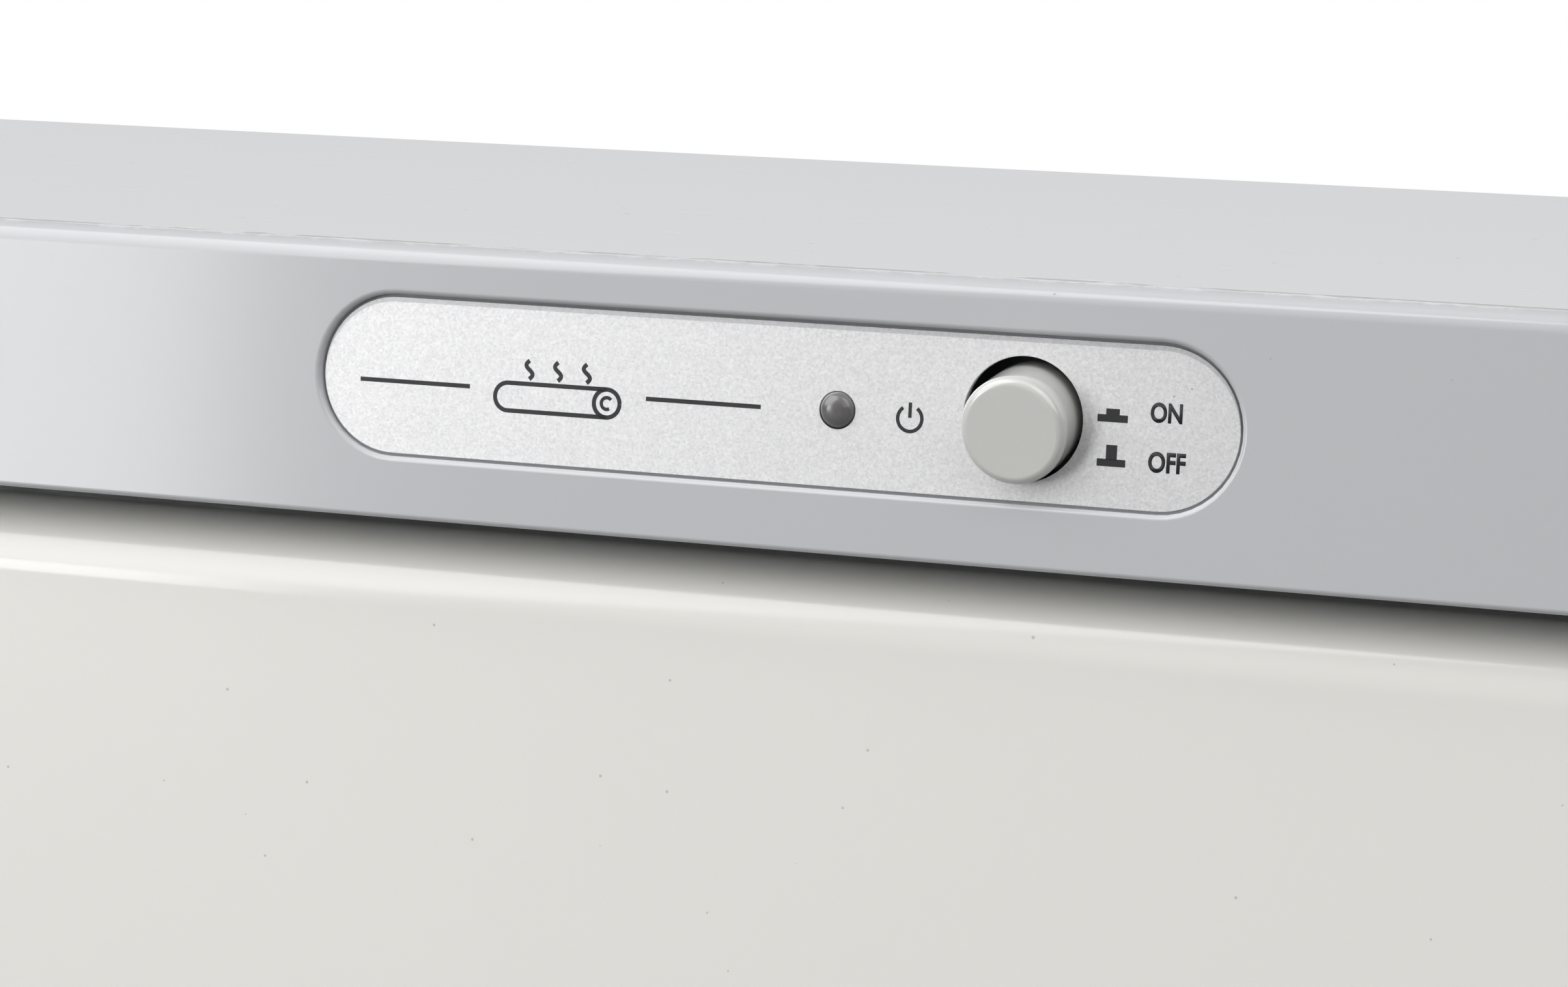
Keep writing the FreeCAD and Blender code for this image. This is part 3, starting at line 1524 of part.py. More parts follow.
def rack(name, rise):
    """A welded wire rack: a frame wire with rounded corners and cross rods laid over it."""
    body = new_body(name)
    wire = S["rack_wire"]
    rod = S["rack_rod"]
    bend = RACK_CORNER
    reach = rack_half - wire
    low = rack_front + wire
    high = rack_back - wire
    route = new_sketch(body, "XY", 0, "route")
    corners = []
    up = FreeCAD.Vector(0, 0, 1)
    for across, deep, start in (
        (reach - bend, low + bend, -0.5),
        (reach - bend, high - bend, 0.0),
        (-reach + bend, high - bend, 0.5),
        (-reach + bend, low + bend, 1.0),
    ):
        circle = Part.Circle(flat_vector((across, deep)), up, bend)
        arc = Part.ArcOfCircle(circle, math.pi * start, math.pi * (start + 0.5))
        corners.append((route.addGeometry(arc, False), across, deep))
    for index, (item, across, deep) in enumerate(corners):
        following = corners[(index + 1) % 4][0]
        line = route.addGeometry(
            Part.LineSegment(
                route.Geometry[item].EndPoint, route.Geometry[following].StartPoint
            ),
            False,
        )
        route.addConstraint(Sketcher.Constraint("Tangent", item, 2, line, 1))
        route.addConstraint(Sketcher.Constraint("Tangent", line, 2, following, 1))
        pin_point(route, item, 3, across, deep)
    route.addConstraint(Sketcher.Constraint("Radius", corners[0][0], bend))
    section = disc(new_sketch(body, "YZ", 0, "section"), low, 0, wire)
    sweep = body.newObject("PartDesign::AdditivePipe", f"{name}_frame")
    sweep.Profile = section
    sweep.Spine = (route, [f"Edge{number}" for number in range(1, 9)])
    document.recompute()

    pitch = reach * 2 / (S["rack_rods"] + 1)
    cross = disc(
        new_sketch(body, "XZ", low - wire / 2, "rod"), pitch - reach, wire + rod - WELD, rod
    )
    rods = pad(body, cross, high - low + wire)
    repeat(body, [rods], "X_Axis", pitch, S["rack_rods"])
    place(body, 0, 0, mouth_bottom + rise + wire)
    return body


# Door: moulded shell with a recessed pull, insulation, inner panel and sealing ring

PULL_WALL = 2
PULL_FLOOR_RISE = 0.3
PULL_CHAMFER = 3
PULL_ROUND = 1.2
PANEL_THICK = 2
PANEL_CORNER = 3
FIELD_SIDE = 12
FIELD_END = 10
FIELD_RIM = 12
FIELD_CORNER = 10
FIELD_ROUND = 0.6
FOAM_ROOM = 2
DOOR_SCREW_SIDE = 7
DOOR_SCREW_RISE = 40
DOOR_SCREW_DROP = 30
POST_BORE = 9
PIN_HEAD_RADIUS = 1.6
PIN_HEAD_THICK = 2
HINGE_PLATE = 2
HINGE_PLATE_FRONT = 7
HINGE_PLATE_BACK = 9
HINGE_PLATE_END = 5
MAGNET_FLANGE = 0.8
MAGNET_FLANGE_THICK = 1.5
KEEPER_SHORT = 2
KEEPER_GAP = 0.4

pull_half = S["pull_width"] / 2
pull_top = lip - S["pull_drop"]
pull_bottom = pull_top - S["pull_height"]
pull_roof = pull_top + S["pull_undercut"]
pull_back = door_face + S["pull_depth"]
panel_edge = S["door_wall"] + S["seat_gap"]
door_screw_across = door_half - S["door_wall"] - DOOR_SCREW_SIDE
door_screw_places = both_sides(
    door_screw_across,
    [
        door_bottom + DOOR_SCREW_RISE,
        (door_bottom + door_top) / 2,
        door_top - DOOR_SCREW_DROP,
    ],
)


def door_shell():
    body = new_body("door_shell")
    block = rectangle(
        new_sketch(body, "XZ", door_face), -door_half, door_half, door_bottom, door_top
    )
    pad(body, block, S["door_thick"])
    fillet(body, S["door_top_radius"], lambda edge: lies_at(edge, y=door_face, z=door_top))
    fillet(
        body,
        S["door_edge_radius"] + PAST,
        lambda edge: lies_at(edge, y=door_face, z=door_bottom),
    )

    def on_side(edge):
        at_side = lies_at(edge, x=door_half) or lies_at(edge, x=-door_half)
        return at_side and not lies_at(edge, y=door_back)

    fillet(body, S["door_edge_radius"], on_side)
    open_faces(
        body,
        S["door_wall"],
        lambda face: face.Surface.isPlanar() and abs(face.CenterOfMass.y - float(door_back)) < 1e-4,
    )

    tub = rectangle(
        new_sketch(body, "XZ", door_face + S["door_wall"] / 2, "tub"),
        -pull_half - PULL_WALL,
        pull_half + PULL_WALL,
        pull_bottom - PULL_WALL,
        pull_roof + PULL_WALL,
    )
    pad(body, tub, S["pull_depth"] + PULL_WALL - S["door_wall"] / 2)
    hollow = outline(
        new_sketch(body, "YZ", 0, "pull"),
        [
            (door_face - PAST, pull_bottom),
            (door_face, pull_bottom),
            (pull_back, pull_bottom + S["pull_height"] * PULL_FLOOR_RISE),
            (pull_back, pull_roof - PULL_CHAMFER),
            (pull_back - PULL_CHAMFER, pull_roof),
            (door_face + S["pull_lip"], pull_roof),
            (door_face + S["pull_lip"], pull_top),
            (door_face - PAST, pull_top),
        ],
    )
    pocket(body, hollow, S["pull_width"], both=True)

    def on_mouth(edge):
        reach = max(abs(edge.BoundBox.XMin), abs(edge.BoundBox.XMax))
        low, high = float(pull_bottom) - PAST, float(pull_top) + PAST
        within = edge.BoundBox.ZMin > low and edge.BoundBox.ZMax < high
        return lies_at(edge, y=door_face) and reach < float(pull_half) + PAST and within

    fillet(body, PULL_ROUND, on_mouth)

    bosses = disc(
        new_sketch(body, "YZ", 0, "hinge_bosses"), hinge_y, hinge_z, S["pin_radius"] * 2
    )
    pad(body, bosses, (door_half - PAST) * 2, both=True)
    middle = new_sketch(body, "YZ", 0, "between_bosses")
    rectangle(
        middle,
        door_face + S["door_wall"],
        door_back + PAST,
        door_bottom + S["door_wall"],
        hinge_z + S["hinge_rise"] + PAST,
    )
    pocket(body, middle, (door_half - S["door_wall"] - S["pin_grip"]) * 2, both=True)
    bore = disc(new_sketch(body, "YZ", 0, "pivots"), hinge_y, hinge_z, hinge_hole)
    pocket(body, bore, (door_half + PAST) * 2, both=True)

    posts = new_sketch(body, "XZ", door_back - PANEL_THICK, "posts")
    discs(posts, door_screw_places, BOSS_RADIUS)
    pad(body, posts, S["door_thick"] - PANEL_THICK - S["door_wall"] + BOSS_ROOT, along=-1)
    bores = new_sketch(body, "XZ", door_back - PANEL_THICK, "post_bores")
    discs(bores, door_screw_places, S["screw_radius"])
    pocket(body, bores, POST_BORE, along=-1)
    return body


def door_insulation():
    """A foam board in the door, cut away round the pull, the hinges and the screw posts."""
    body = new_body("door_insulation")
    side = door_screw_across - BOSS_RADIUS - FOAM_ROOM
    board = rectangle(
        new_sketch(body, "XZ", door_face + S["door_wall"] + S["seat_gap"]),
        -side,
        side,
        hinge_z + S["hinge_rise"] + FOAM_ROOM,
        door_top - S["door_top_radius"],
    )
    pad(body, board, S["door_thick"] - S["door_wall"] - PANEL_THICK - S["seat_gap"] * 2)
    gap = rectangle(
        new_sketch(body, "XZ", door_face, "pull_gap"),
        -pull_half - PULL_WALL - FOAM_ROOM,
        pull_half + PULL_WALL + FOAM_ROOM,
        pull_bottom - PULL_WALL - FOAM_ROOM,
        pull_roof + PULL_WALL + FOAM_ROOM,
    )
    pocket(body, gap, S["door_thick"])
    return body


def door_inner_panel():
    """The pan that closes the back of the door, with a raised field that enters the chamber."""
    body = new_body("door_inner_panel")
    wide = door_half - panel_edge
    low = door_bottom + panel_edge
    high = door_top - panel_edge
    pan = rectangle(
        new_sketch(body, "XZ", door_back - PANEL_THICK), -wide, wide, low, high
    )
    pad(body, pan, PANEL_THICK)
    fillet(body, PANEL_CORNER, corner_along("y"))
    field_half = mouth_half - FIELD_SIDE
    field_low = mouth_bottom + FIELD_END
    field_high = mouth_top - FIELD_END
    field = rectangle(
        new_sketch(body, "XZ", door_back, "field"),
        -field_half,
        field_half,
        field_low,
        field_high,
    )
    pad(body, field, S["plug_height"])

    field_corner = corner_along("y")
    fillet(
        body,
        FIELD_CORNER,
        lambda edge: field_corner(edge) and edge.BoundBox.YMin > float(door_back) - 1e-4,
    )
    fillet(
        body,
        S["plug_height"] * FIELD_ROUND,
        lambda edge: lies_at(edge, y=door_back + S["plug_height"]),
    )
    hollow = rectangle(
        new_sketch(body, "XZ", door_back - PANEL_THICK - PAST, "hollow"),
        -field_half + FIELD_RIM,
        field_half - FIELD_RIM,
        field_low + FIELD_RIM,
        field_high - FIELD_RIM,
    )
    pocket(body, hollow, S["plug_height"] + PAST)
    holes = new_sketch(body, "XZ", door_back - PANEL_THICK - PAST, "holes")
    discs(holes, door_screw_places, S["screw_radius"])
    pocket(body, holes, PANEL_THICK + PAST * 2)
    return body


def door_gasket():
    """The silicone ring round the raised field, just clear of the sealing face when shut."""
    body = new_body("door_gasket")
    inner = GASKET_SET
    outer = GASKET_SET + S["gasket_width"]
    ring = new_sketch(body, "XZ", door_back)
    rectangle(
        ring, -mouth_half - outer, mouth_half + outer, mouth_bottom - outer, mouth_top + outer
    )
    rectangle(
        ring, -mouth_half - inner, mouth_half + inner, mouth_bottom - inner, mouth_top + inner
    )
    depth = S["seal_gap"] - S["seat_gap"]
    pad(body, ring, depth)

    ring_corner = corner_along("y")
    fillet(
        body,
        MOUTH_CORNER + outer,
        lambda edge: ring_corner(edge) and abs(edge.BoundBox.XMax) > float(mouth_half + inner + PAST),
    )
    fillet(
        body,
        MOUTH_CORNER + inner,
        lambda edge: ring_corner(edge)
        and abs(abs(edge.BoundBox.XMax) - float(mouth_half + inner)) < 1e-4,
    )
    return body


def hinge_pin(name, side):
    """A headed steel pin, fast in its bracket and running in the door's boss."""
    body = new_body(name)
    tip = door_half - S["door_wall"] - S["pin_grip"] + S["seat_gap"]
    head = opening_half + S["moulding_wall"] + HINGE_PLATE
    shape = outline(
        new_sketch(body, "XY"),
        [
            (tip, 0),
            (tip, S["pin_radius"]),
            (head, S["pin_radius"]),
            (head, S["pin_radius"] * PIN_HEAD_RADIUS),
            (head + PIN_HEAD_THICK, S["pin_radius"] * PIN_HEAD_RADIUS),
            (head + PIN_HEAD_THICK, 0),
        ],
    )
    turned(body, "Revolution", shape, "H_Axis")
    if side < 0:
        body.Placement = FreeCAD.Placement(
            FreeCAD.Vector(), FreeCAD.Rotation(FreeCAD.Vector(0, 0, 1), 180)
        )
    bind(body, "Placement.Base.y", hinge_y)
    bind(body, "Placement.Base.z", hinge_z)
    return body


def hinge_bracket(name, side):
    """The steel plate in the stile that holds the hinge pin."""
    body = new_body(name)
    inner = opening_half + S["moulding_wall"]
    level = inner if side > 0 else -inner
    plate = rectangle(
        new_sketch(body, "YZ", level),
        hinge_y - HINGE_PLATE_FRONT,
        hinge_y + HINGE_PLATE_BACK,
        hinge_screw_levels[0] - HINGE_PLATE_END,
        hinge_screw_levels[1] + HINGE_PLATE_END,
    )
    pad(body, plate, HINGE_PLATE, along=side)
    holes = new_sketch(body, "YZ", level - PAST * side, "holes")
    disc(holes, hinge_y, hinge_z, S["pin_radius"])
    discs(holes, [(hinge_y, height) for height in hinge_screw_levels], S["screw_radius"])
    pocket(body, holes, HINGE_PLATE + PAST * 2, along=side)
    return body


def catch_magnet():
    """The magnet case, pushed through its window in the sealing face."""
    body = new_body("catch_magnet")
    case = rectangle(
        new_sketch(body, "XZ", seal_face - S["magnet_stand"]),
        -magnet_half + LOOSE,
        magnet_half - LOOSE,
        magnet_bottom + LOOSE,
        magnet_top - LOOSE,
    )
    pad(body, case, S["magnet_depth"] + S["magnet_stand"])
    flange = rectangle(
        new_sketch(body, "XZ", frame_back, "flange"),
        -magnet_half - MAGNET_FLANGE,
        magnet_half + MAGNET_FLANGE,
        magnet_bottom - MAGNET_FLANGE,
        magnet_top + MAGNET_FLANGE,
    )
    pad(body, flange, MAGNET_FLANGE_THICK)
    return body


def catch_plate():
    """The steel keeper on the door that meets the magnet."""
    body = new_body("catch_plate")
    plate = rectangle(
        new_sketch(body, "XZ", door_back),
        -magnet_half + KEEPER_SHORT,
        magnet_half - KEEPER_SHORT,
        magnet_bottom,
        magnet_top,
    )
    pad(body, plate, S["seal_gap"] - S["magnet_stand"] - KEEPER_GAP)
    return body


# Drip tray and its guides

TRAY_SET = 1
TRAY_CORNER = 2
TRAY_EDGE = 1
LOW_RIM_SHARE = 0.3
LOW_RIM_AHEAD = 2
GRIP_HALF = 35
GRIP_HIGH = 5
GRIP_DEEP = 8
GRIP_WALL = 2
GUIDE_FOOT = 9
GUIDE_HIGH = 11
tray_front = front + TRAY_SET
tray_back = tray_front + S["tray_travel"] + S["tray_held"]


def drip_tray():
    """The tray that catches drips from the chamber, pulled out by its front edge."""
    body = new_body("drip_tray")
    block = rectangle(
        new_sketch(body, "XY", tray_bottom), -tray_half, tray_half, tray_front, tray_back
    )
    pad(body, block, tray_top - tray_bottom)
    fillet(
        body,
        TRAY_CORNER,
        lambda edge: lies_at(edge, x=tray_half, y=tray_back),
        lambda edge: lies_at(edge, x=-tray_half, y=tray_back),
    )
    wall = S["tray_wall"]
    tub = rectangle(
        new_sketch(body, "XY", tray_top + PAST, "tub"),
        -tray_half + wall,
        tray_half - wall,
        tray_front + wall,
        tray_back - wall,
    )
    pocket(body, tub, tray_top - tray_bottom - wall + PAST, along=-1)
    fillet(
        body,
        TRAY_EDGE,
        lambda edge: lies_at(edge, y=tray_front, z=tray_top),
        lambda edge: lies_at(edge, y=tray_front, z=tray_bottom),
    )
    lower_back = rectangle(
        new_sketch(body, "XY", tray_top + PAST, "low_rim"),
        -tray_half - PAST,
        tray_half + PAST,
        frame_back - LOW_RIM_AHEAD,
        tray_back + PAST,
    )
    pocket(body, lower_back, (tray_top - tray_bottom) * LOW_RIM_SHARE + PAST, along=-1)
    grip_top = tray_bottom + GRIP_HIGH
    grip_back = tray_front + wall + GRIP_DEEP
    grip = rectangle(
        new_sketch(body, "XZ", tray_front - PAST, "grip"),
        -GRIP_HALF,
        GRIP_HALF,
        tray_bottom - PAST,
        grip_top,
    )
    pocket(body, grip, grip_back - tray_front + PAST)
    shelf = outline(
        new_sketch(body, "YZ", 0, "grip_shelf"),
        [
            (tray_front + wall, grip_top),
            (grip_back, grip_top),
            (grip_back, tray_bottom),
            (grip_back + GRIP_WALL, tray_bottom),
            (grip_back + GRIP_WALL, grip_top + GRIP_WALL),
            (tray_front + wall, grip_top + GRIP_WALL),
        ],
    )
    pad(body, shelf, (GRIP_HALF + wall) * 2, both=True)
    return body


def tray_guide(name, side):
    """An angle on the base pan that the tray slides along."""
    body = new_body(name)
    gauge = S["guide_gauge"]
    outer = (slot_half + gauge) * side
    inner = slot_half * side
    foot_end = (slot_half - GUIDE_FOOT) * side
    section = outline(
        new_sketch(body, "XZ", frame_back + PAN_SET),
        [
            (outer, floor_level),
            (outer, floor_level + GUIDE_HIGH),
            (inner, floor_level + GUIDE_HIGH),
            (inner, floor_level + gauge),
            (foot_end, floor_level + gauge),
            (foot_end, floor_level),
        ],
    )
    pad(body, section, tray_back - frame_back)
    return body


# Screws: each kind is one group of separate solids

HEAD_TOP = 0.7
HEAD_EDGE = 0.4
REAR_SCREW_TIP = 3
CHAMBER_SCREW_GAP = 0.4


def screw_solid(length):
    """One pan-head screw along +Z, its head below zero."""
    shank = float(S["screw_radius"])
    head = float(S["screw_head"])
    cap = float(S["screw_cap"])
    points = [
        (0, -cap),
        (head * HEAD_TOP, -cap),
        (head, -cap * HEAD_EDGE),
        (head, 0),
        (shank, 0),
        (shank, length),
        (0, length),
    ]
    corners = [FreeCAD.Vector(across, 0, up) for across, up in points]
    face = Part.Face(Part.makePolygon(corners + corners[:1]))
    return face.revolve(FreeCAD.Vector(), FreeCAD.Vector(0, 0, 1), 360)


def screw_group(name, seats, length):
    """A group of equal screws: each seat is a place and the way its shank points."""
    solids = []
    for (across, deep, high), direction in seats:
        solid = screw_solid(float(size(length)))
        solid.Placement = FreeCAD.Placement(
            FreeCAD.Vector(float(size(across)), float(size(deep)), float(size(high))),
            FreeCAD.Rotation(FreeCAD.Vector(0, 0, 1), FreeCAD.Vector(*direction)),
        )
        solids.append(solid)
    group = document.addObject("Part::Feature", name)
    group.Label = name
    group.Shape = Part.makeCompound(solids)
    return group


def screws():
    inward = [(-1, (1, 0, 0)), (1, (-1, 0, 0))]
    case_seats = []
    for side, direction in inward:
        for level in frame_screw_levels:
            case_seats.append(((half_width * side, frame_screw_deep, level), direction))
        for deep in pan_screw_deeps:
            case_seats.append(((half_width * side, deep, pan_screw_level), direction))
    screw_group("case_screws", case_seats, S["steel_gauge"] + S["sleeve_fit"] + S["moulding_wall"])

    rear_seats = [
        ((across, rear, up), (0, -1, 0))
        for across, up in both_sides(rear_screw_across, rear_screw_levels)
    ]
    screw_group("rear_screws", rear_seats, S["steel_gauge"] * 2 + REAR_SCREW_TIP)

    chamber_seats = [
        ((across, frame_back + chamber_out, up), (0, -1, 0))
        for across, up in chamber_screw_places
    ]
    chamber_reach = chamber_out + S["moulding_wall"] - CHAMBER_SCREW_GAP
    screw_group("chamber_screws", chamber_seats, chamber_reach)

    door_seats = [((across, door_back, up), (0, -1, 0)) for across, up in door_screw_places]
    screw_group("door_screws", door_seats, PANEL_THICK + POST_BORE - SCREW_END_GAP)

    switch_seats = [
        ((button_across + S["bracket_reach"] * side, bracket_rear, button_level), (0, -1, 0))
        for side in (-1, 1)
    ]
    switch_reach = S["bracket_gauge"] + SCREW_BITE - SCREW_END_GAP
    screw_group("switch_screws", switch_seats, switch_reach)

    foot_seats = [
        ((across, deep, S["foot_height"] * FOOT_WELL_SHARE), (0, 0, 1))
        for across, deep in foot_places()
    ]
    foot_skin = S["foot_height"] * (1 - FOOT_WELL_SHARE)
    screw_group("foot_screws", foot_seats, foot_skin + S["steel_gauge"])

    hinge_seats = []
    for side, direction in inward:
        for level in hinge_screw_levels:
            seat = (opening_half + S["moulding_wall"] + HINGE_PLATE) * side
            hinge_seats.append(((seat, hinge_y, level), direction))
    screw_group("hinge_screws", hinge_seats, HINGE_PLATE + S["moulding_wall"])


# Put the cabinet together

def build():
    front_frame()
    casing_wrap()
    base_pan()
    rear_panel()
    names = ("foot_front_left", "foot_rear_left", "foot_front_right", "foot_rear_right")
    for name, (across, deep) in zip(names, foot_places()):
        foot(name, across, deep)

    name_plate()
    power_lamp()
    lamp_holder()
    power_button()
    switch_plunger()
    switch_body()
    switch_spring()
    switch_bracket()

    warming_chamber()
    insulation_jacket()
    heaters()
    thermostat()
    thermal_fuse()
    drain_tube()
    chamber_support()
    terminal_block()
    wiring_loom()
    cord_gland()
    gland_nut()

    rack_rail("rack_rail_left", -1)
    rack_rail("rack_rail_right", 1)
    rack("lower_rack", S["lower_rack_rise"])
    rack("upper_rack", S["upper_rack_rise"])

    door_shell()
    door_insulation()
    door_inner_panel()
    door_gasket()
    hinge_pin("hinge_pin_left", -1)
    hinge_pin("hinge_pin_right", 1)
    hinge_bracket("hinge_bracket_left", -1)
    hinge_bracket("hinge_bracket_right", 1)
    catch_magnet()
    catch_plate()

    drip_tray()
    tray_guide("tray_guide_left", -1)
    tray_guide("tray_guide_right", 1)
    screws()


def check_and_write():
    """Stop on anything that failed, then write each piece to its own file."""
    document.recompute()
    for item in document.Objects:
        if "Invalid" in item.State or "Error" in item.State:
            raise RuntimeError(f"{item.Name} failed: {item.State}")
    os.makedirs("parts", exist_ok=True)
    for item in document.Objects:
        if item.TypeId not in ("PartDesign::Body", "Part::Feature"):
            continue
        if item.Shape.isNull() or not item.Shape.isValid():
            raise RuntimeError(f"{item.Label} has no sound shape")
        item.Shape.exportStep(os.path.join("parts", f"{item.Label}.step"))
        box = item.Shape.BoundBox
        print(
            f"{item.Label}: {len(item.Shape.Solids)} solid(s),"
            f" {box.XLength:.1f} x {box.YLength:.1f} x {box.ZLength:.1f}"
        )


build()
check_and_write()
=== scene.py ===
import json
import math
import random

import bmesh
import bpy
from mathutils import Matrix, Vector

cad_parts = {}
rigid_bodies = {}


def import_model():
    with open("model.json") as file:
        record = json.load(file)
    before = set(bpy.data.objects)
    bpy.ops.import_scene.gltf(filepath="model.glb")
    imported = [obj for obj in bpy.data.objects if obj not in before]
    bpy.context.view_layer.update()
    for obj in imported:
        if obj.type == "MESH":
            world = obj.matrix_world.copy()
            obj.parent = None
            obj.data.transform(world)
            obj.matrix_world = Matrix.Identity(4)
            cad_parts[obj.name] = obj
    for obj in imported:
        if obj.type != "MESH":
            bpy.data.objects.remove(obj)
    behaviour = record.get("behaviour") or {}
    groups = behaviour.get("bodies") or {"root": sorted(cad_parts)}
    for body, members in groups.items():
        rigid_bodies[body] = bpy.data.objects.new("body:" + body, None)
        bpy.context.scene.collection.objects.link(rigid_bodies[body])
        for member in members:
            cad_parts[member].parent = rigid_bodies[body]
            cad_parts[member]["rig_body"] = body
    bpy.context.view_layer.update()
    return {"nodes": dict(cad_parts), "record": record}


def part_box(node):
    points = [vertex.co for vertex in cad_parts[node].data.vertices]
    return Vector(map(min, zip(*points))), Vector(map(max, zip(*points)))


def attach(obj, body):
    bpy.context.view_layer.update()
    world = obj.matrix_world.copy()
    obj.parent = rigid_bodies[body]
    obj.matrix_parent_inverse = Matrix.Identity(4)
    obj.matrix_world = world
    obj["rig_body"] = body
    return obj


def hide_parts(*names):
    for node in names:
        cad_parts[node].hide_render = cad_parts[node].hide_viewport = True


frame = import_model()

# The view: an eye at arm's length in front of the cabinet's upper right half, looking a little down
# and to the left at the lamp and the push button.
MM = 0.001
EYE = (0.29786, -0.71410, 0.31182)
TURN = math.radians(21.354)
DIP = math.radians(7.150)
ROLL = math.radians(1.688)
across = Vector((math.cos(TURN), math.sin(TURN), 0))
ahead = Vector((-math.sin(TURN) * math.cos(DIP), math.cos(TURN) * math.cos(DIP), -math.sin(DIP)))
above = across.cross(ahead)
view_right = across * math.cos(ROLL) + above * math.sin(ROLL)
view_up = above * math.cos(ROLL) - across * math.sin(ROLL)
lens = bpy.data.cameras.new("eye")
lens.lens = 104.75
lens.sensor_width = 36.0
lens.clip_start = 0.01
eye = bpy.data.objects.new("eye", lens)
eye.matrix_world = Matrix.Translation(EYE) @ Matrix((view_right, view_up, -ahead)).transposed().to_4x4()
bpy.context.scene.collection.objects.link(eye)
bpy.context.scene.camera = eye


# Front frame: one grey gloss moulding with the leaning fascia, the long recess for the name plate, the
# door opening and its sealing face. It closes the front of the cabinet between the side walls.
slot_of = {row["node"]: row["material_slot"] for row in frame["record"]["subparts"]}
body_of = {name: node["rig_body"] for name, node in frame["nodes"].items()}


def shade(red, green, blue):
    """A colour given as it looks, 0 to 255, as the shader needs it."""
    levels = [level / 255 for level in (red, green, blue)]
    linear = [
        level / 12.92 if level <= 0.04045 else ((level + 0.055) / 1.055) ** 2.4 for level in levels
    ]
    return (*linear, 1.0)


def add(tree, kind, inputs=(), **settings):
    """A node in a tree, with its settings, and its inputs linked or set."""
    node = tree.nodes.new(kind)
    for key, value in settings.items():
        setattr(node, key, value)
    for key, value in dict(inputs).items():
        if isinstance(value, bpy.types.NodeSocket):
            tree.links.new(value, node.inputs[key])
        else:
            node.inputs[key].default_value = value
    return node


def reckon(tree, operation, *terms, clamp=False):
    """The result of a sum in a shader tree."""
    node = add(tree, "ShaderNodeMath", dict(enumerate(terms)), operation=operation, use_clamp=clamp)
    return node.outputs[0]


def new_group(name, kind, inputs, outputs):
    """An empty node group with named inputs and outputs."""
    tree = bpy.data.node_groups.new(name, kind)
    for label, socket, value in inputs:
        item = tree.interface.new_socket(label, in_out="INPUT", socket_type=socket)
        if value is not None:
            item.default_value = value
    for label, socket in outputs:
        tree.interface.new_socket(label, in_out="OUTPUT", socket_type=socket)
    return tree, tree.nodes.new("NodeGroupInput").outputs, tree.nodes.new("NodeGroupOutput").inputs


def effect(name, inputs, outputs):
    """An empty shader group that starts from a place on the surface."""
    places = [("Place", "NodeSocketVector", None)]
    numbers = [(label, "NodeSocketFloat", value) for label, value in inputs]
    return new_group(name, "ShaderNodeTree", places + numbers, outputs)


# tone: a slow drift of brightness, as in any large painted or moulded face
tone, given, result = effect("tone", [("Scale", 20.0), ("Amount", 0.02)], [("Factor", "NodeSocketFloat")])
cloud = add(tone, "ShaderNodeTexNoise", {"Vector": given["Place"], "Scale": given["Scale"], "Detail": 3.0})
spread = reckon(tone, "MULTIPLY", reckon(tone, "SUBTRACT", cloud.outputs[0], 0.5), 4.0)
tone.links.new(
    reckon(tone, "MULTIPLY_ADD", spread, given["Amount"], 1.0), result["Factor"]
)

# specks: sparse round grains of dust
specks, given, result = effect(
    "specks", [("Scale", 300.0), ("Size", 0.12), ("Amount", 0.2)], [("Mask", "NodeSocketFloat")]
)
cells = add(specks, "ShaderNodeTexVoronoi", {"Vector": given["Place"], "Scale": given["Scale"]})
chance = add(specks, "ShaderNodeSeparateColor", {"Color": cells.outputs["Color"]})
near = reckon(specks, "MULTIPLY", given["Size"], chance.outputs["Green"])
dot = reckon(specks, "LESS_THAN", cells.outputs["Distance"], near)
chosen = reckon(specks, "LESS_THAN", chance.outputs["Red"], given["Amount"])
specks.links.new(reckon(specks, "MULTIPLY", dot, chosen), result["Mask"])

# scratches: short fine lines that run one way and break off
scratches, given, result = effect(
    "scratches",
    [("Scale", 900.0), ("Length", 40.0), ("Turn", 0.5), ("Width", 0.01), ("Amount", 0.4)],
    [("Mask", "NodeSocketFloat")],
)
patch = add(scratches, "ShaderNodeTexNoise", {"Vector": given["Place"], "Scale": 55.0, "Detail": 2.0})
veer = reckon(scratches, "MULTIPLY_ADD", patch.outputs[0], 3.0, given["Turn"])
turned = add(
    scratches,
    "ShaderNodeVectorRotate",
    {"Vector": given["Place"], "Angle": veer, "Axis": (0.0, 1.0, 0.25)},
    rotation_type="AXIS_ANGLE",
)
parts = add(scratches, "ShaderNodeSeparateXYZ", {"Vector": turned.outputs[0]})
along = reckon(scratches, "DIVIDE", parts.outputs["Z"], given["Length"])
drawn = add(
    scratches, "ShaderNodeCombineXYZ", {"X": parts.outputs["X"], "Y": parts.outputs["Y"], "Z": along}
)
lines = add(scratches, "ShaderNodeTexNoise", {"Vector": drawn.outputs[0], "Scale": given["Scale"], "Detail": 1.0})
thin = reckon(
    scratches,
    "LESS_THAN",
    reckon(scratches, "ABSOLUTE", reckon(scratches, "SUBTRACT", lines.outputs[0], 0.5)),
    given["Width"],
)
kept = reckon(scratches, "GREATER_THAN", patch.outputs[0], reckon(scratches, "SUBTRACT", 1.0, given["Amount"]))
scratches.links.new(reckon(scratches, "MULTIPLY", thin, kept), result["Mask"])

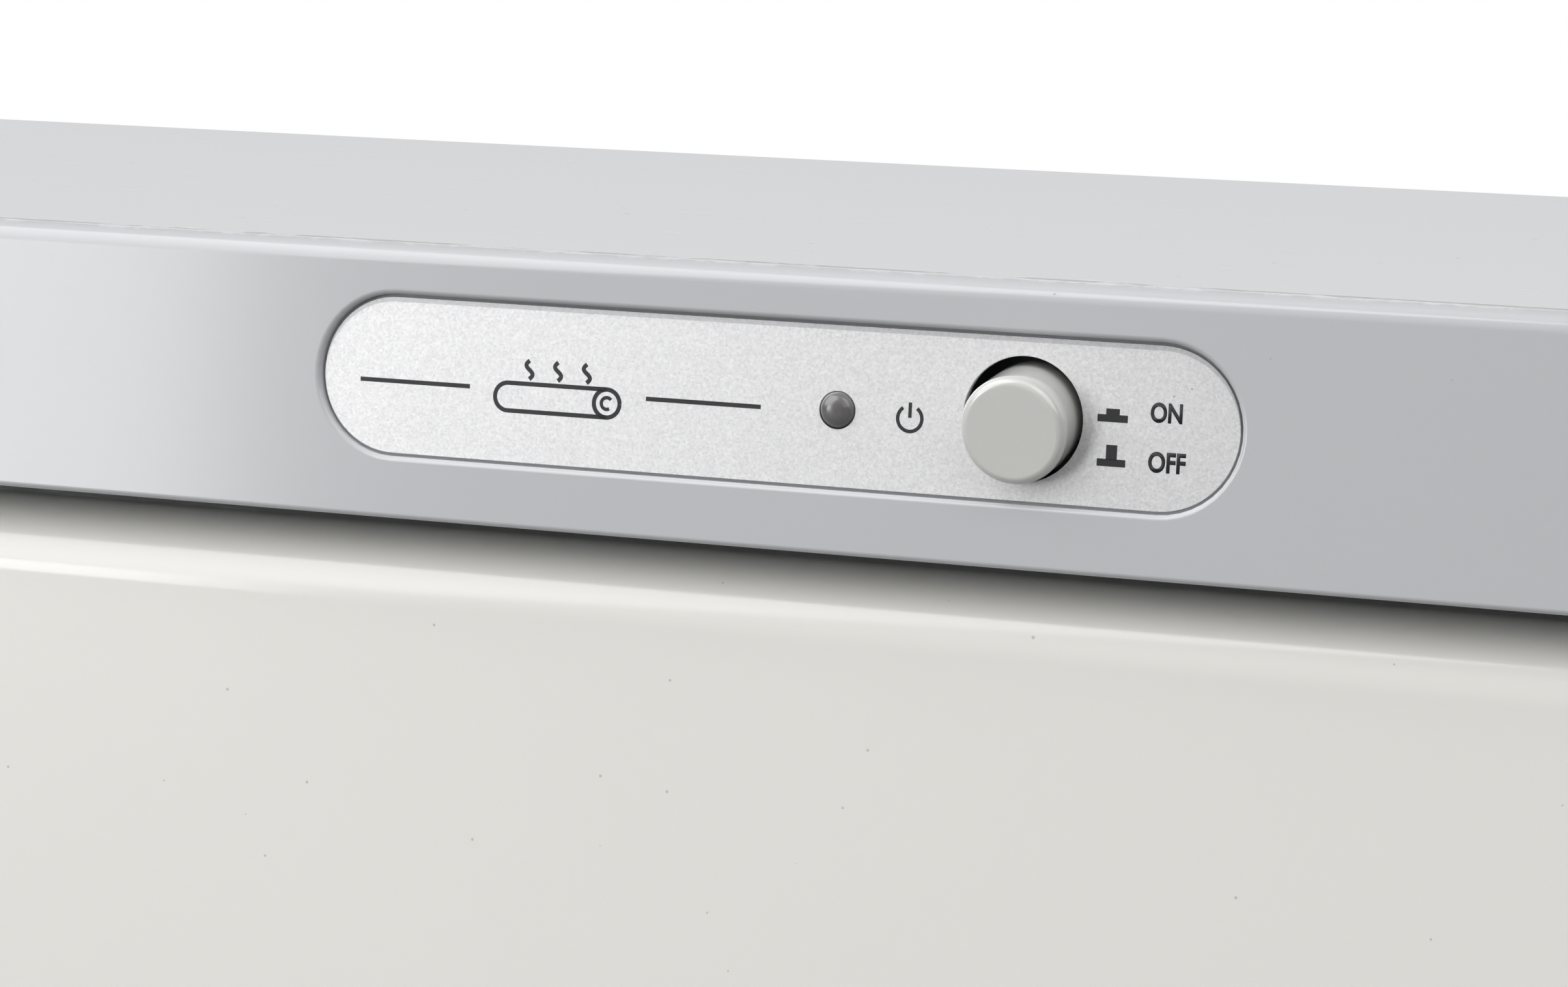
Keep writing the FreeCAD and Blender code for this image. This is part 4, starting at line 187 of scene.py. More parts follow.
# grain: the small rise and fall of a moulded, painted or cast skin
grain, given, result = effect(
    "grain", [("Scale", 900.0), ("Roughness", 0.5)], [("Height", "NodeSocketFloat")]
)
skin = add(
    grain,
    "ShaderNodeTexNoise",
    {"Vector": given["Place"], "Scale": given["Scale"], "Detail": 4.0, "Roughness": given["Roughness"]},
)
grain.links.new(skin.outputs[0], result["Height"])


def finish(
    name,
    colour,
    roughness,
    metallic=0.0,
    drift=(18.0, 0.02),
    skin=(900.0, 0.06, 0.02),
    dust=(420.0, 0.10, 0.10),
    dust_colour=(150, 148, 142),
    marks=(700.0, 14.0, 0.6, 0.005, 0.40),
    mark_light=0.05,
    ior=1.5,
    coat=0.0,
    coat_roughness=0.05,
    sheen=0.0,
):
    """A material from this object's own effects: drift is scale and amount, skin is scale, strength and
    depth in mm, dust is scale, size and amount, and marks are the values of the scratches."""
    material = bpy.data.materials.new(name)
    material.use_nodes = True
    tree = material.node_tree
    surface = tree.nodes["Principled BSDF"]
    surface.inputs["Metallic"].default_value = metallic
    surface.inputs["IOR"].default_value = ior
    surface.inputs["Coat Weight"].default_value = coat
    surface.inputs["Coat Roughness"].default_value = coat_roughness
    surface.inputs["Sheen Weight"].default_value = sheen
    place = add(tree, "ShaderNodeTexCoord").outputs["Object"]

    def effect_node(group, **values):
        node = add(tree, "ShaderNodeGroup", node_tree=group)
        tree.links.new(place, node.inputs["Place"])
        for label, value in values.items():
            node.inputs[label].default_value = value
        return node.outputs[0]

    wave = effect_node(tone, Scale=drift[0], Amount=drift[1])
    dusty = effect_node(specks, Scale=dust[0], Size=dust[1], Amount=dust[2])
    lined = effect_node(
        scratches, Scale=marks[0], Length=marks[1], Turn=marks[2], Width=marks[3], Amount=marks[4]
    )
    rise = effect_node(grain, Scale=skin[0], Roughness=0.55)
    toned = add(
        tree, "ShaderNodeMix", {"Factor": 1.0, 6: shade(*colour), 7: wave}, data_type="RGBA", blend_type="MULTIPLY"
    )
    worn = add(
        tree,
        "ShaderNodeMix",
        {"Factor": reckon(tree, "MULTIPLY", lined, mark_light), 6: toned.outputs[2], 7: (1.0, 1.0, 1.0, 1.0)},
        data_type="RGBA",
    )
    dusted = add(
        tree,
        "ShaderNodeMix",
        {"Factor": reckon(tree, "MULTIPLY", dusty, 0.55), 6: worn.outputs[2], 7: shade(*dust_colour)},
        data_type="RGBA",
    )
    tree.links.new(dusted.outputs[2], surface.inputs["Base Color"])
    varied = reckon(tree, "MULTIPLY", reckon(tree, "MULTIPLY_ADD", wave, 4.0, -3.0), roughness)
    marked = reckon(tree, "MULTIPLY_ADD", lined, 0.12, varied)
    rough = reckon(tree, "MULTIPLY_ADD", dusty, 0.35, marked, clamp=True)
    tree.links.new(rough, surface.inputs["Roughness"])
    bump = add(
        tree,
        "ShaderNodeBump",
        {"Strength": skin[1], "Distance": skin[2] * MM, "Height": rise},
    )
    tree.links.new(bump.outputs[0], surface.inputs["Normal"])
    return material


def new_piece(name, mesh, material):
    """An object in the scene for a finished mesh."""
    mesh.materials.clear()
    mesh.materials.append(material)
    piece = bpy.data.objects.new(name, mesh)
    bpy.context.scene.collection.objects.link(piece)
    return piece


def merged_form(node):
    """A copy of a solid's loose triangles, joined at their shared corners."""
    source = frame["nodes"][node].data
    mesh = bpy.data.meshes.new(node)
    mesh.from_pydata(
        [corner.co[:] for corner in source.vertices], [], [face.vertices[:] for face in source.polygons]
    )
    form = bmesh.new()
    form.from_mesh(mesh)
    bpy.data.meshes.remove(mesh)
    bmesh.ops.remove_doubles(form, verts=form.verts, dist=MM * 0.001)
    bmesh.ops.dissolve_degenerate(form, edges=form.edges, dist=MM * 0.0002)
    return form


def bake_down(piece):
    """Turns a piece with its modifiers into a plain mesh."""
    bpy.context.view_layer.update()
    flat = bpy.data.meshes.new_from_object(
        piece.evaluated_get(bpy.context.evaluated_depsgraph_get())
    )
    flat.name = piece.name
    piece.modifiers.clear()
    piece.data = flat
    return piece


def dressed(node, material, crease=32, edge=0.0, steps=2):
    """The node's own shape, smooth between its creases, its sharp edges broken by so many mm."""
    form = merged_form(node)
    bmesh.ops.dissolve_limit(
        form, angle_limit=math.radians(0.05), verts=form.verts, edges=form.edges
    )
    for face in form.faces:
        face.smooth = True
    for side in form.edges:
        side.smooth = len(side.link_faces) == 2 and side.calc_face_angle(0.0) < math.radians(crease)
    mesh = bpy.data.meshes.new(node + "_skin")
    form.to_mesh(mesh)
    form.free()
    piece = new_piece(node + "_skin", mesh, material)
    if edge:
        soften = piece.modifiers.new("edge", "BEVEL")
        soften.width = edge * MM
        soften.segments = steps
        soften.limit_method = "ANGLE"
        soften.angle_limit = math.radians(crease)
        soften.use_clamp_overlap = True
        soften.harden_normals = False
    level = piece.modifiers.new("level", "WEIGHTED_NORMAL")
    level.mode = "FACE_AREA"
    level.weight = 50
    level.keep_sharp = not edge
    bake_down(piece)
    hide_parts(node)
    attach(piece, body_of[node])
    return piece


# seam_dirt: a broken line of grime and pale rubbed spots where the case sheet meets the frame
seam_dirt, given, result = effect(
    "seam_dirt",
    [("Seam", 0.0), ("Width", 0.0004), ("Scale", 160.0), ("Amount", 0.5)],
    [("Mask", "NodeSocketFloat")],
)
spot = add(seam_dirt, "ShaderNodeSeparateXYZ", {"Vector": given["Place"]})
wobble = add(seam_dirt, "ShaderNodeTexNoise", {"Vector": given["Place"], "Scale": 900.0, "Detail": 4.0})
shifted = reckon(seam_dirt, "MULTIPLY_ADD", wobble.outputs[0], 0.0008, reckon(seam_dirt, "SUBTRACT", spot.outputs["Y"], 0.0004))
off_seam = reckon(seam_dirt, "ABSOLUTE", reckon(seam_dirt, "SUBTRACT", shifted, given["Seam"]))
close = add(
    seam_dirt,
    "ShaderNodeMapRange",
    {"Value": reckon(seam_dirt, "DIVIDE", off_seam, given["Width"]), "From Min": 0.3, "From Max": 1.0, "To Min": 1.0, "To Max": 0.0},
).outputs[0]
run = add(seam_dirt, "ShaderNodeTexNoise", {"Vector": given["Place"], "Scale": given["Scale"], "Detail": 5.0, "Roughness": 0.7})
broken = add(
    seam_dirt,
    "ShaderNodeMapRange",
    {
        "Value": run.outputs[0],
        "From Min": reckon(seam_dirt, "SUBTRACT", 1.0, given["Amount"]),
        "From Max": reckon(seam_dirt, "SUBTRACT", 1.08, given["Amount"]),
    },
).outputs[0]
seam_dirt.links.new(reckon(seam_dirt, "MULTIPLY", close, broken), result["Mask"])


def stain(material, group, colour, strength, **values):
    """Lays a colour over a material's own where the mask of an effect says."""
    tree = material.node_tree
    mask = add(
        tree,
        "ShaderNodeGroup",
        {"Place": add(tree, "ShaderNodeTexCoord").outputs["Object"]},
        node_tree=group,
    )
    for label, value in values.items():
        mask.inputs[label].default_value = value
    surface = tree.nodes["Principled BSDF"].inputs["Base Color"]
    over = add(
        tree,
        "ShaderNodeMix",
        {
            "Factor": reckon(tree, "MULTIPLY", mask.outputs[0], strength),
            6: surface.links[0].from_socket,
            7: shade(*colour),
        },
        data_type="RGBA",
    )
    tree.links.new(over.outputs[2], surface)


SEAM_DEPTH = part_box("casing_wrap")[0].y
gloss_grey = finish(
    "gloss_grey", (190, 191, 194), 0.13, drift=(9.0, 0.006), skin=(260.0, 0.04, 0.02), dust=(330.0, 0.10, 0.08)
)
stain(gloss_grey, seam_dirt, (244, 244, 246), 0.25, Seam=SEAM_DEPTH - 0.9 * MM, Width=0.9 * MM, Scale=260.0, Amount=0.52)
stain(gloss_grey, seam_dirt, (104, 102, 98), 0.8, Seam=SEAM_DEPTH - 0.15 * MM, Width=0.6 * MM, Scale=90.0, Amount=0.52)
front = dressed("front_frame", gloss_grey, crease=28)


# Outer case: one steel sheet bent into the top and both sides, enamelled the same light grey. It slides
# over the front frame's edge and is screwed to the base pan and the rear panel.
case_enamel = finish(
    "case_enamel",
    (192, 194, 199),
    0.18,
    drift=(11.0, 0.01),
    skin=(420.0, 0.05, 0.02),
    dust=(300.0, 0.12, 0.12),
    marks=(500.0, 18.0, 1.2, 0.006, 0.30),
    mark_light=0.025,
)
stain(case_enamel, seam_dirt, (86, 84, 80), 0.9, Seam=SEAM_DEPTH + 1.0 * MM, Width=1.3 * MM, Scale=90.0, Amount=0.56)
stain(case_enamel, seam_dirt, (250, 250, 252), 0.35, Seam=SEAM_DEPTH + 2.6 * MM, Width=1.8 * MM, Scale=230.0, Amount=0.42)
dressed("casing_wrap", case_enamel, crease=28)


# Name plate: a pill-shaped plate of silver-lacquered aluminium, stuck into the recess, with holes for
# the lamp and the push button.
# sparkle: the flakes in the lacquer, each cell a little lighter or darker than the next
sparkle, given, result = effect("sparkle", [("Scale", 3000.0), ("Spread", 0.1)], [("Mask", "NodeSocketFloat")])
flakes = add(sparkle, "ShaderNodeTexVoronoi", {"Vector": given["Place"], "Scale": given["Scale"]})
flake = add(sparkle, "ShaderNodeSeparateColor", {"Color": flakes.outputs["Color"]})
clumps = add(
    sparkle,
    "ShaderNodeTexNoise",
    {"Vector": given["Place"], "Scale": reckon(sparkle, "MULTIPLY", given["Scale"], 0.45), "Detail": 2.0},
)
mixed = reckon(sparkle, "MULTIPLY_ADD", clumps.outputs[0], 0.5, reckon(sparkle, "MULTIPLY", flake.outputs["Red"], 0.9))
bright = reckon(sparkle, "MULTIPLY", reckon(sparkle, "SUBTRACT", mixed, 0.62), given["Spread"], clamp=True)
sparkle.links.new(bright, result["Mask"])
silver = finish(
    "silver_plate",
    (225, 225, 226),
    0.52,
    metallic=0.85,
    drift=(30.0, 0.008),
    skin=(2300.0, 0.55, 0.03),
    dust=(420.0, 0.10, 0.06),
    marks=(900.0, 12.0, 1.57, 0.003, 0.38),
)
stain(silver, sparkle, (255, 255, 255), 0.5, Scale=2900.0, Spread=1.0)
stain(silver, sparkle, (120, 120, 124), 0.28, Scale=3600.0, Spread=1.0)
# painted shadow: the strip along the plate's upper edge, darkened in its colour where the recess's upper rim would
# shade it
painted_rim_shadow, given, result = effect(
    "painted_rim_shadow",
    [("Middle", 0.0), ("Level", 0.0), ("Reach", 0.05), ("Radius", 0.01), ("Drop", 0.0007)],
    [("Mask", "NodeSocketFloat")],
)
spot = add(painted_rim_shadow, "ShaderNodeSeparateXYZ", {"Vector": given["Place"]})
sideways = reckon(painted_rim_shadow, "ABSOLUTE", reckon(painted_rim_shadow, "SUBTRACT", spot.outputs["X"], given["Middle"]))
past_end = reckon(painted_rim_shadow, "MAXIMUM", reckon(painted_rim_shadow, "SUBTRACT", sideways, given["Reach"]), 0.0)
risen = reckon(
    painted_rim_shadow, "ADD", reckon(painted_rim_shadow, "SUBTRACT", spot.outputs["Z"], given["Level"]), given["Drop"]
)
off_middle = reckon(
    painted_rim_shadow, "SQRT", reckon(painted_rim_shadow, "ADD", reckon(painted_rim_shadow, "POWER", past_end, 2.0), reckon(painted_rim_shadow, "POWER", risen, 2.0))
)
strip = add(
    painted_rim_shadow,
    "ShaderNodeMapRange",
    {
        "Value": reckon(painted_rim_shadow, "SUBTRACT", off_middle, given["Radius"]),
        "From Min": -0.00004,
        "From Max": 0.00004,
    },
).outputs[0]
painted_rim_shadow.links.new(strip, result["Mask"])
PLATE_RADIUS = 11.1
# Painted shadow: a grey laid over the silver along the plate's upper edge, for the shade that the recess's upper rim
# casts on it.
rim_shadow_low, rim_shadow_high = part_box("name_plate")
stain(
    silver,
    painted_rim_shadow,
    (140, 140, 145),
    0.40,
    Middle=(rim_shadow_low.x + rim_shadow_high.x) / 2,
    Level=(rim_shadow_low.z + rim_shadow_high.z) / 2,
    Reach=(rim_shadow_high.x - rim_shadow_low.x) / 2 - PLATE_RADIUS * MM,
    Radius=PLATE_RADIUS * MM,
    Drop=0.0007,
)
dressed("name_plate", silver, crease=35, edge=0.10)


# Signs on the plate, printed in dark grey: a rolled towel under steam between two lines, a power sign
# by the lamp, and the button's in and out positions with their words.
LEAN = math.radians(2.6)
PRINT_LIFT = 0.012
PLATE_HALF_HEIGHT = 11.1
ink = finish("ink", (34, 34, 37), 0.5, drift=(200.0, 0.06), dust=(900.0, 0.08, 0.03), mark_light=0.05)
plate_low, plate_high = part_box("name_plate")
plate_middle = Vector(
    (
        (plate_low.x + plate_high.x) / 2,
        plate_low.y + PLATE_HALF_HEIGHT * MM * math.sin(LEAN),
        (plate_low.z + plate_high.z) / 2,
    )
)
plate_up = Vector((0, math.sin(LEAN), math.cos(LEAN)))
plate_out = Vector((0, -math.cos(LEAN), math.sin(LEAN)))
plate_place = Matrix.Translation(plate_middle) @ Matrix(
    (Vector((1, 0, 0)), plate_up, plate_out)
).transposed().to_4x4()


def line(points, width):
    """The outline of a line of even width through the points."""
    left, right = [], []
    for index, point in enumerate(points):
        before = Vector(points[max(index - 1, 0)])
        after = Vector(points[min(index + 1, len(points) - 1)])
        run = (after - before).normalized()
        side = Vector((-run.y, run.x)) * width / 2
        left.append(Vector(point) + side)
        right.append(Vector(point) - side)
    return left + right[::-1]


def arc(middle, radius, start, stop, steps=24):
    """Points along part of a circle, from start to stop degrees."""
    return [
        (
            middle[0] + radius * math.cos(math.radians(start + (stop - start) * step / steps)),
            middle[1] + radius * math.sin(math.radians(start + (stop - start) * step / steps)),
        )
        for step in range(steps + 1)
    ]


def printed(name, outlines):
    """A thin layer of ink on the plate, from flat outlines in mm from its middle."""
    form = bmesh.new()
    for outline in outlines:
        corners = [form.verts.new((point[0] * MM, point[1] * MM, 0)) for point in outline]
        form.faces.new(corners)
    bmesh.ops.recalc_face_normals(form, faces=form.faces)
    flat = [face for face in form.faces]
    for face in flat:
        if face.normal.z < 0:
            face.normal_flip()
    raised = bmesh.ops.extrude_face_region(form, geom=flat, use_keep_orig=True)
    for item in raised["geom"]:
        if isinstance(item, bmesh.types.BMVert):
            item.co.z = PRINT_LIFT * MM
    bmesh.ops.recalc_face_normals(form, faces=form.faces)
    form.transform(plate_place)
    mesh = bpy.data.meshes.new(name)
    form.to_mesh(mesh)
    form.free()
    piece = new_piece(name, mesh, ink)
    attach(piece, body_of["name_plate"])


def printed_word(name, word, left, low, height, squeeze):
    """A plain word on the plate, its left lower corner and height in mm."""
    letters = bpy.data.curves.new(name, "FONT")
    letters.body = word
    letters.size = 1.0
    letters.resolution_u = 6
    letters.offset = 0.034
    holder = bpy.data.objects.new(name, letters)
    bpy.context.scene.collection.objects.link(holder)
    bpy.context.view_layer.update()
    flat = bpy.data.meshes.new_from_object(
        holder.evaluated_get(bpy.context.evaluated_depsgraph_get())
    )
    bpy.data.objects.remove(holder)
    form = bmesh.new()
    form.from_mesh(flat)
    bmesh.ops.remove_doubles(form, verts=form.verts, dist=1e-5)
    low_x = min(corner.co.x for corner in form.verts)
    low_y = min(corner.co.y for corner in form.verts)
    high_y = max(corner.co.y for corner in form.verts)
    size = height / (high_y - low_y) * MM
    for corner in form.verts:
        corner.co = (
            left * MM + (corner.co.x - low_x) * size * squeeze,
            low * MM + (corner.co.y - low_y) * size,
            0,
        )
    for face in form.faces:
        if face.normal.z < 0:
            face.normal_flip()
    raised = bmesh.ops.extrude_face_region(form, geom=form.faces[:], use_keep_orig=True)
    for item in raised["geom"]:
        if isinstance(item, bmesh.types.BMVert):
            item.co.z = PRINT_LIFT * MM
    bmesh.ops.recalc_face_normals(form, faces=form.faces)
    form.transform(plate_place)
    mesh = bpy.data.meshes.new(name)
    form.to_mesh(mesh)
    form.free()
    piece = new_piece(name, mesh, ink)
    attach(piece, body_of["name_plate"])


TOWEL = (-31.3, -1.9)
TOWEL_HALF = 7.6
ROLL = 1.95
BOLD = 0.62
steam = [
    line(
        [
            (TOWEL[0] + shift + 0.5 * math.sin(step / 18 * 2 * math.pi), 0.75 + step / 18 * 2.6)
            for step in range(19)
        ],
        BOLD,
    )
    for shift in (-4.4, 0.0, 4.4)
]
roll_end = line(arc((TOWEL[0] + TOWEL_HALF, TOWEL[1]), ROLL, 0, 360, 40), BOLD)
roll_core = line(arc((TOWEL[0] + TOWEL_HALF, TOWEL[1]), ROLL * 0.42, 40, 300), BOLD * 0.8)
roll_top, roll_low = [
    line([(TOWEL[0] - TOWEL_HALF, TOWEL[1] + side), (TOWEL[0] + TOWEL_HALF, TOWEL[1] + side)], BOLD)
    for side in (ROLL, -ROLL)
]
roll_back = line(arc((TOWEL[0] - TOWEL_HALF, TOWEL[1]), ROLL, 90, 270), BOLD)
side_lines = [
    line([(TOWEL[0] + way * 13.5, -0.85), (TOWEL[0] + way * 30.7, -0.85)], BOLD) for way in (-1, 1)
]
printed("towel_sign", steam + [roll_end, roll_core, roll_top, roll_low, roll_back] + side_lines)
printed(
    "power_sign",
    [line(arc((21.2, -1.0), 1.75, 125, 415, 32), 0.5), line([(21.2, -0.9), (21.2, 1.2)], 0.5)],
)
printed(
    "pressed_sign",
    [line([(47.8, 0.95), (52.05, 0.95)], 1.0), line([(49.93, 1.4), (49.93, 2.25)], 1.9)],
)
printed(
    "released_sign",
    [line([(48.0, -5.0), (52.0, -5.0)], 1.0), line([(50.0, -4.6), (50.0, -2.6)], 1.55)],
)
printed_word("word_on", "ON", 55.15, 0.76, 2.75, 0.80)
printed_word("word_off", "OFF", 55.15, -5.9, 2.85, 0.80)


# Power lamp: a smoked plastic lens with a low dome, pushed into the black holder behind the plate.
smoked = finish(
    "smoked_lens", (100, 98, 98), 0.27, drift=(300.0, 0.05), skin=(500.0, 0.03, 0.01), dust=(700.0, 0.1, 0.08), coat=0.8, coat_roughness=0.2
)
dressed("power_lamp", smoked, crease=35)
black_moulding = finish("black_moulding", (32, 32, 34), 0.45, drift=(60.0, 0.05), skin=(1500.0, 0.3, 0.03))
dressed("lamp_holder", black_moulding, crease=35)


# Push button: a round cap of satin grey plastic with a rounded front edge. It is pressed on the white
# stem of the switch and sits a little low in its hole.
cap_plastic = finish(
    "cap_plastic",
    (208, 208, 205),
    0.15,
    drift=(70.0, 0.012),
    skin=(2200.0, 0.06, 0.01),
    coat=0.7,
    coat_roughness=0.10,
    dust=(500.0, 0.10, 0.08),
    marks=(800.0, 40.0, 0.1, 0.006, 0.46),
)
DROOP = math.radians(8.5)
PIVOT_BEHIND = 5.5
CAP_SET_OUT = 0.4
cap = dressed("power_button", cap_plastic, crease=40)
cap_low, cap_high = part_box("power_button")
cap_pivot = Vector(((cap_low.x + cap_high.x) / 2, cap_low.y + PIVOT_BEHIND * MM, (cap_low.z + cap_high.z) / 2))
cap.data.transform(
    Matrix.Translation(cap_pivot)
    @ Matrix.Rotation(DROOP, 4, "X")
    @ Matrix.Translation((0, -CAP_SET_OUT * MM, 0))
    @ Matrix.Translation(-cap_pivot)
)


# Switch behind the fascia: a black case with solder tags, a white stem, its spring and the folded steel
# bracket that two screws hold to the frame's bosses.
white_nylon = finish("white_nylon", (232, 230, 222), 0.4, drift=(80.0, 0.02), skin=(1200.0, 0.1, 0.02))
dressed("switch_plunger", white_nylon, crease=35)
dressed("switch_body", black_moulding, crease=35, edge=0.15)
zinc = finish(
    "zinc_sheet",
    (176, 180, 184),
    0.34,
    metallic=0.85,
    drift=(70.0, 0.05),
    skin=(300.0, 0.15, 0.03),
    marks=(600.0, 60.0, 0.8, 0.01, 0.5),
    mark_light=0.15,
)
dressed("switch_bracket", zinc, crease=30)
spring_steel = finish(
    "spring_steel", (188, 188, 190), 0.22, metallic=1.0, drift=(400.0, 0.04), skin=(3000.0, 0.1, 0.01)
)
BUTTON_TRAVEL = 2.2
spring = dressed("switch_spring", spring_steel, crease=60)
spring_front, spring_seat = [corner.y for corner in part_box("switch_spring")]
pressed_share = 1 - (BUTTON_TRAVEL + 0.15) * MM / (spring_seat - spring_front)
spring.data.transform(
    Matrix.Translation((0, spring_seat * (1 - pressed_share), 0)) @ Matrix.Diagonal((1, pressed_share, 1, 1))
)


# Base pan and rear panel: zinc-coated steel sheets with folded flanges. The rear panel has pressed
# louvres and a hole for the cable gland.
dressed("base_pan", zinc, crease=30)
rear_enamel = finish(
    "rear_enamel", (186, 188, 192), 0.34, drift=(20.0, 0.02), skin=(700.0, 0.25, 0.04), marks=(500.0, 50.0, 0.9, 0.01, 0.5)
)
dressed("rear_panel", zinc if slot_of["rear_panel"] == "zinc_sheet" else rear_enamel, crease=30)


# Feet: four moulded rubber feet, each held by a screw up through its well.
foot_rubber = finish(
    "foot_rubber",
    (38, 38, 40),
    0.72,
    drift=(90.0, 0.08),
    skin=(1800.0, 0.5, 0.05),
    dust=(800.0, 0.2, 0.3),
    dust_colour=(120, 116, 108),
    sheen=0.1,
)
for foot in ("foot_front_left", "foot_front_right", "foot_rear_left", "foot_rear_right"):
    dressed(foot, foot_rubber, crease=35, edge=0.25)


# Cable gland: a black nylon collar through the rear panel, with its nut inside.
dressed("cord_gland", black_moulding, crease=35)
dressed("gland_nut", black_moulding, crease=30, edge=0.2)


# Warming chamber: a drawn aluminium box with a drain tube, held by screws to the frame's sealing face
# and carried at the back by a folded steel support.
bright_aluminium = finish(
    "bright_aluminium",
    (206, 208, 210),
    0.26,
    metallic=0.95,
    drift=(40.0, 0.03),
    skin=(1400.0, 0.12, 0.02),
    marks=(900.0, 90.0, 1.57, 0.012, 0.55),
    mark_light=0.12,
)
dressed("warming_chamber", bright_aluminium, crease=30)
dressed("chamber_support", zinc, crease=30)
clear_silicone = finish("clear_silicone", (214, 214, 208), 0.4, drift=(60.0, 0.03), skin=(900.0, 0.2, 0.03))
dressed("drain_tube", clear_silicone, crease=35)


# Insulation jacket: a pressed felt of mineral fibre round the chamber.
fibre_felt = finish(
    "fibre_felt",
    (222, 216, 200),
    0.9,
    drift=(60.0, 0.09),
    skin=(700.0, 1.0, 0.6),
    dust=(900.0, 0.3, 0.3),
    marks=(1200.0, 14.0, 0.4, 0.05, 0.6),
    mark_light=0.35,
    sheen=0.3,
)
dressed("insulation_jacket", fibre_felt, crease=30)


# Heating mats: foil-faced mats stuck to the chamber's floor and sides, with the wire showing through.
foil = finish(
    "heater_foil", (204, 204, 206), 0.3, metallic=0.9, drift=(60.0, 0.05), skin=(160.0, 0.5, 0.4), mark_light=0.2
)
for mat in ("floor_heater", "left_heater", "right_heater"):
    dressed(mat, foil, crease=30)


# Thermostat and thermal fuse on the chamber's roof, in nickel-plated steel and black plastic.
nickel = finish("nickel", (190, 186, 178), 0.28, metallic=0.9, drift=(120.0, 0.04), skin=(1500.0, 0.1, 0.02))
dressed("thermostat", nickel, crease=35)
dressed("thermal_fuse", nickel, crease=35)


# Terminal block and sleeved wires on the base pan.
dressed("terminal_block", white_nylon, crease=35)
sleeve = finish(
    "wire_sleeve", (30, 30, 32), 0.6, drift=(200.0, 0.08), skin=(2600.0, 0.8, 0.12), marks=(2200.0, 6.0, 0.8, 0.05, 0.6)
)
dressed("wiring_loom", sleeve, crease=45)


# Rack rails: two folded strips with a ledge for each rack.
dressed("rack_rail_left", bright_aluminium, crease=30, edge=0.2)
dressed("rack_rail_right", bright_aluminium, crease=30, edge=0.2)


# Racks: two welded wire racks in bright chrome, a frame wire with rounded corners and cross rods laid
# over it, with a bead of weld at each crossing.
chrome = finish(
    "rack_chrome", (214, 215, 216), 0.12, metallic=1.0, drift=(160.0, 0.03), skin=(900.0, 0.08, 0.02), mark_light=0.1
)
FRAME_WIRE = 1.6
CROSS_ROD = 1.1
RACK_RODS = 21
RACK_CORNER = 10.0


def socket(tree, kind, values=(), **settings):
    """The first output of a new node."""
    return add(tree, kind, values, **settings).outputs[0]


def joined(tree, shapes):
    """Several shapes as one."""
    node = tree.nodes.new("GeometryNodeJoinGeometry")
    for shape in shapes:
        tree.links.new(shape, node.inputs[0])
    return node.outputs[0]


def closing(tree, shape, material, end):
    """Real shape with its material, as the end of a tree."""
    real = socket(tree, "GeometryNodeRealizeInstances", {"Geometry": shape})
    smooth = socket(tree, "GeometryNodeSetShadeSmooth", {"Geometry": real})
    painted = socket(tree, "GeometryNodeSetMaterial", {"Geometry": smooth, "Material": material})
    tree.links.new(painted, end["Geometry"])


def grown(name, tree, values, base=None):
    """A plain mesh from a tree, its inputs set by their names."""
    mesh = base or bpy.data.meshes.new(name)
    piece = bpy.data.objects.new(name, mesh)
    bpy.context.scene.collection.objects.link(piece)
    maker = piece.modifiers.new("maker", "NODES")
    maker.node_group = tree
    for item in tree.interface.items_tree:
        if item.item_type == "SOCKET" and item.in_out == "INPUT" and item.name in values:
            maker[item.identifier] = values[item.name]
    return bake_down(piece)


rack_tree, given, result = new_group(
    "wire_rack",
    "GeometryNodeTree",
    [
        ("Geometry", "NodeSocketGeometry", None),
        ("Width", "NodeSocketFloat", 0.27),
        ("Depth", "NodeSocketFloat", 0.17),
        ("Corner", "NodeSocketFloat", 0.01),
        ("Frame Wire", "NodeSocketFloat", 0.0016),
        ("Rod Wire", "NodeSocketFloat", 0.0011),
        ("Rods", "NodeSocketInt", 15),
        ("Middle", "NodeSocketVector", None),
    ],
    [("Geometry", "NodeSocketGeometry")],
)
loop = socket(rack_tree, "GeometryNodeCurvePrimitiveQuadrilateral", {"Width": given["Width"], "Height": given["Depth"]})
rounded = socket(
    rack_tree,
    "GeometryNodeFilletCurve",
    {"Curve": loop, "Radius": given["Corner"], "Count": 8},
    mode="POLY",
)
frame_round = socket(
    rack_tree, "GeometryNodeCurvePrimitiveCircle", {"Resolution": 20, "Radius": given["Frame Wire"]}
)
frame_wire = socket(
    rack_tree, "GeometryNodeCurveToMesh", {"Curve": rounded, "Profile Curve": frame_round}
)
rod_round = socket(
    rack_tree, "GeometryNodeCurvePrimitiveCircle", {"Resolution": 16, "Radius": given["Rod Wire"]}
)
half_depth = reckon(rack_tree, "MULTIPLY", given["Depth"], 0.5)
rod_start = socket(rack_tree, "ShaderNodeCombineXYZ", {"Y": reckon(rack_tree, "MULTIPLY", half_depth, -1.0)})
rod_stop = socket(rack_tree, "ShaderNodeCombineXYZ", {"Y": half_depth})
rod_path = socket(rack_tree, "GeometryNodeCurvePrimitiveLine", {"Start": rod_start, "End": rod_stop})
rod = socket(
    rack_tree,
    "GeometryNodeCurveToMesh",
    {"Curve": rod_path, "Profile Curve": rod_round, "Fill Caps": True},
)
bead = socket(
    rack_tree,
    "GeometryNodeMeshUVSphere",
    {"Segments": 12, "Rings": 8, "Radius": reckon(rack_tree, "MULTIPLY", given["Rod Wire"], 1.25)},
)
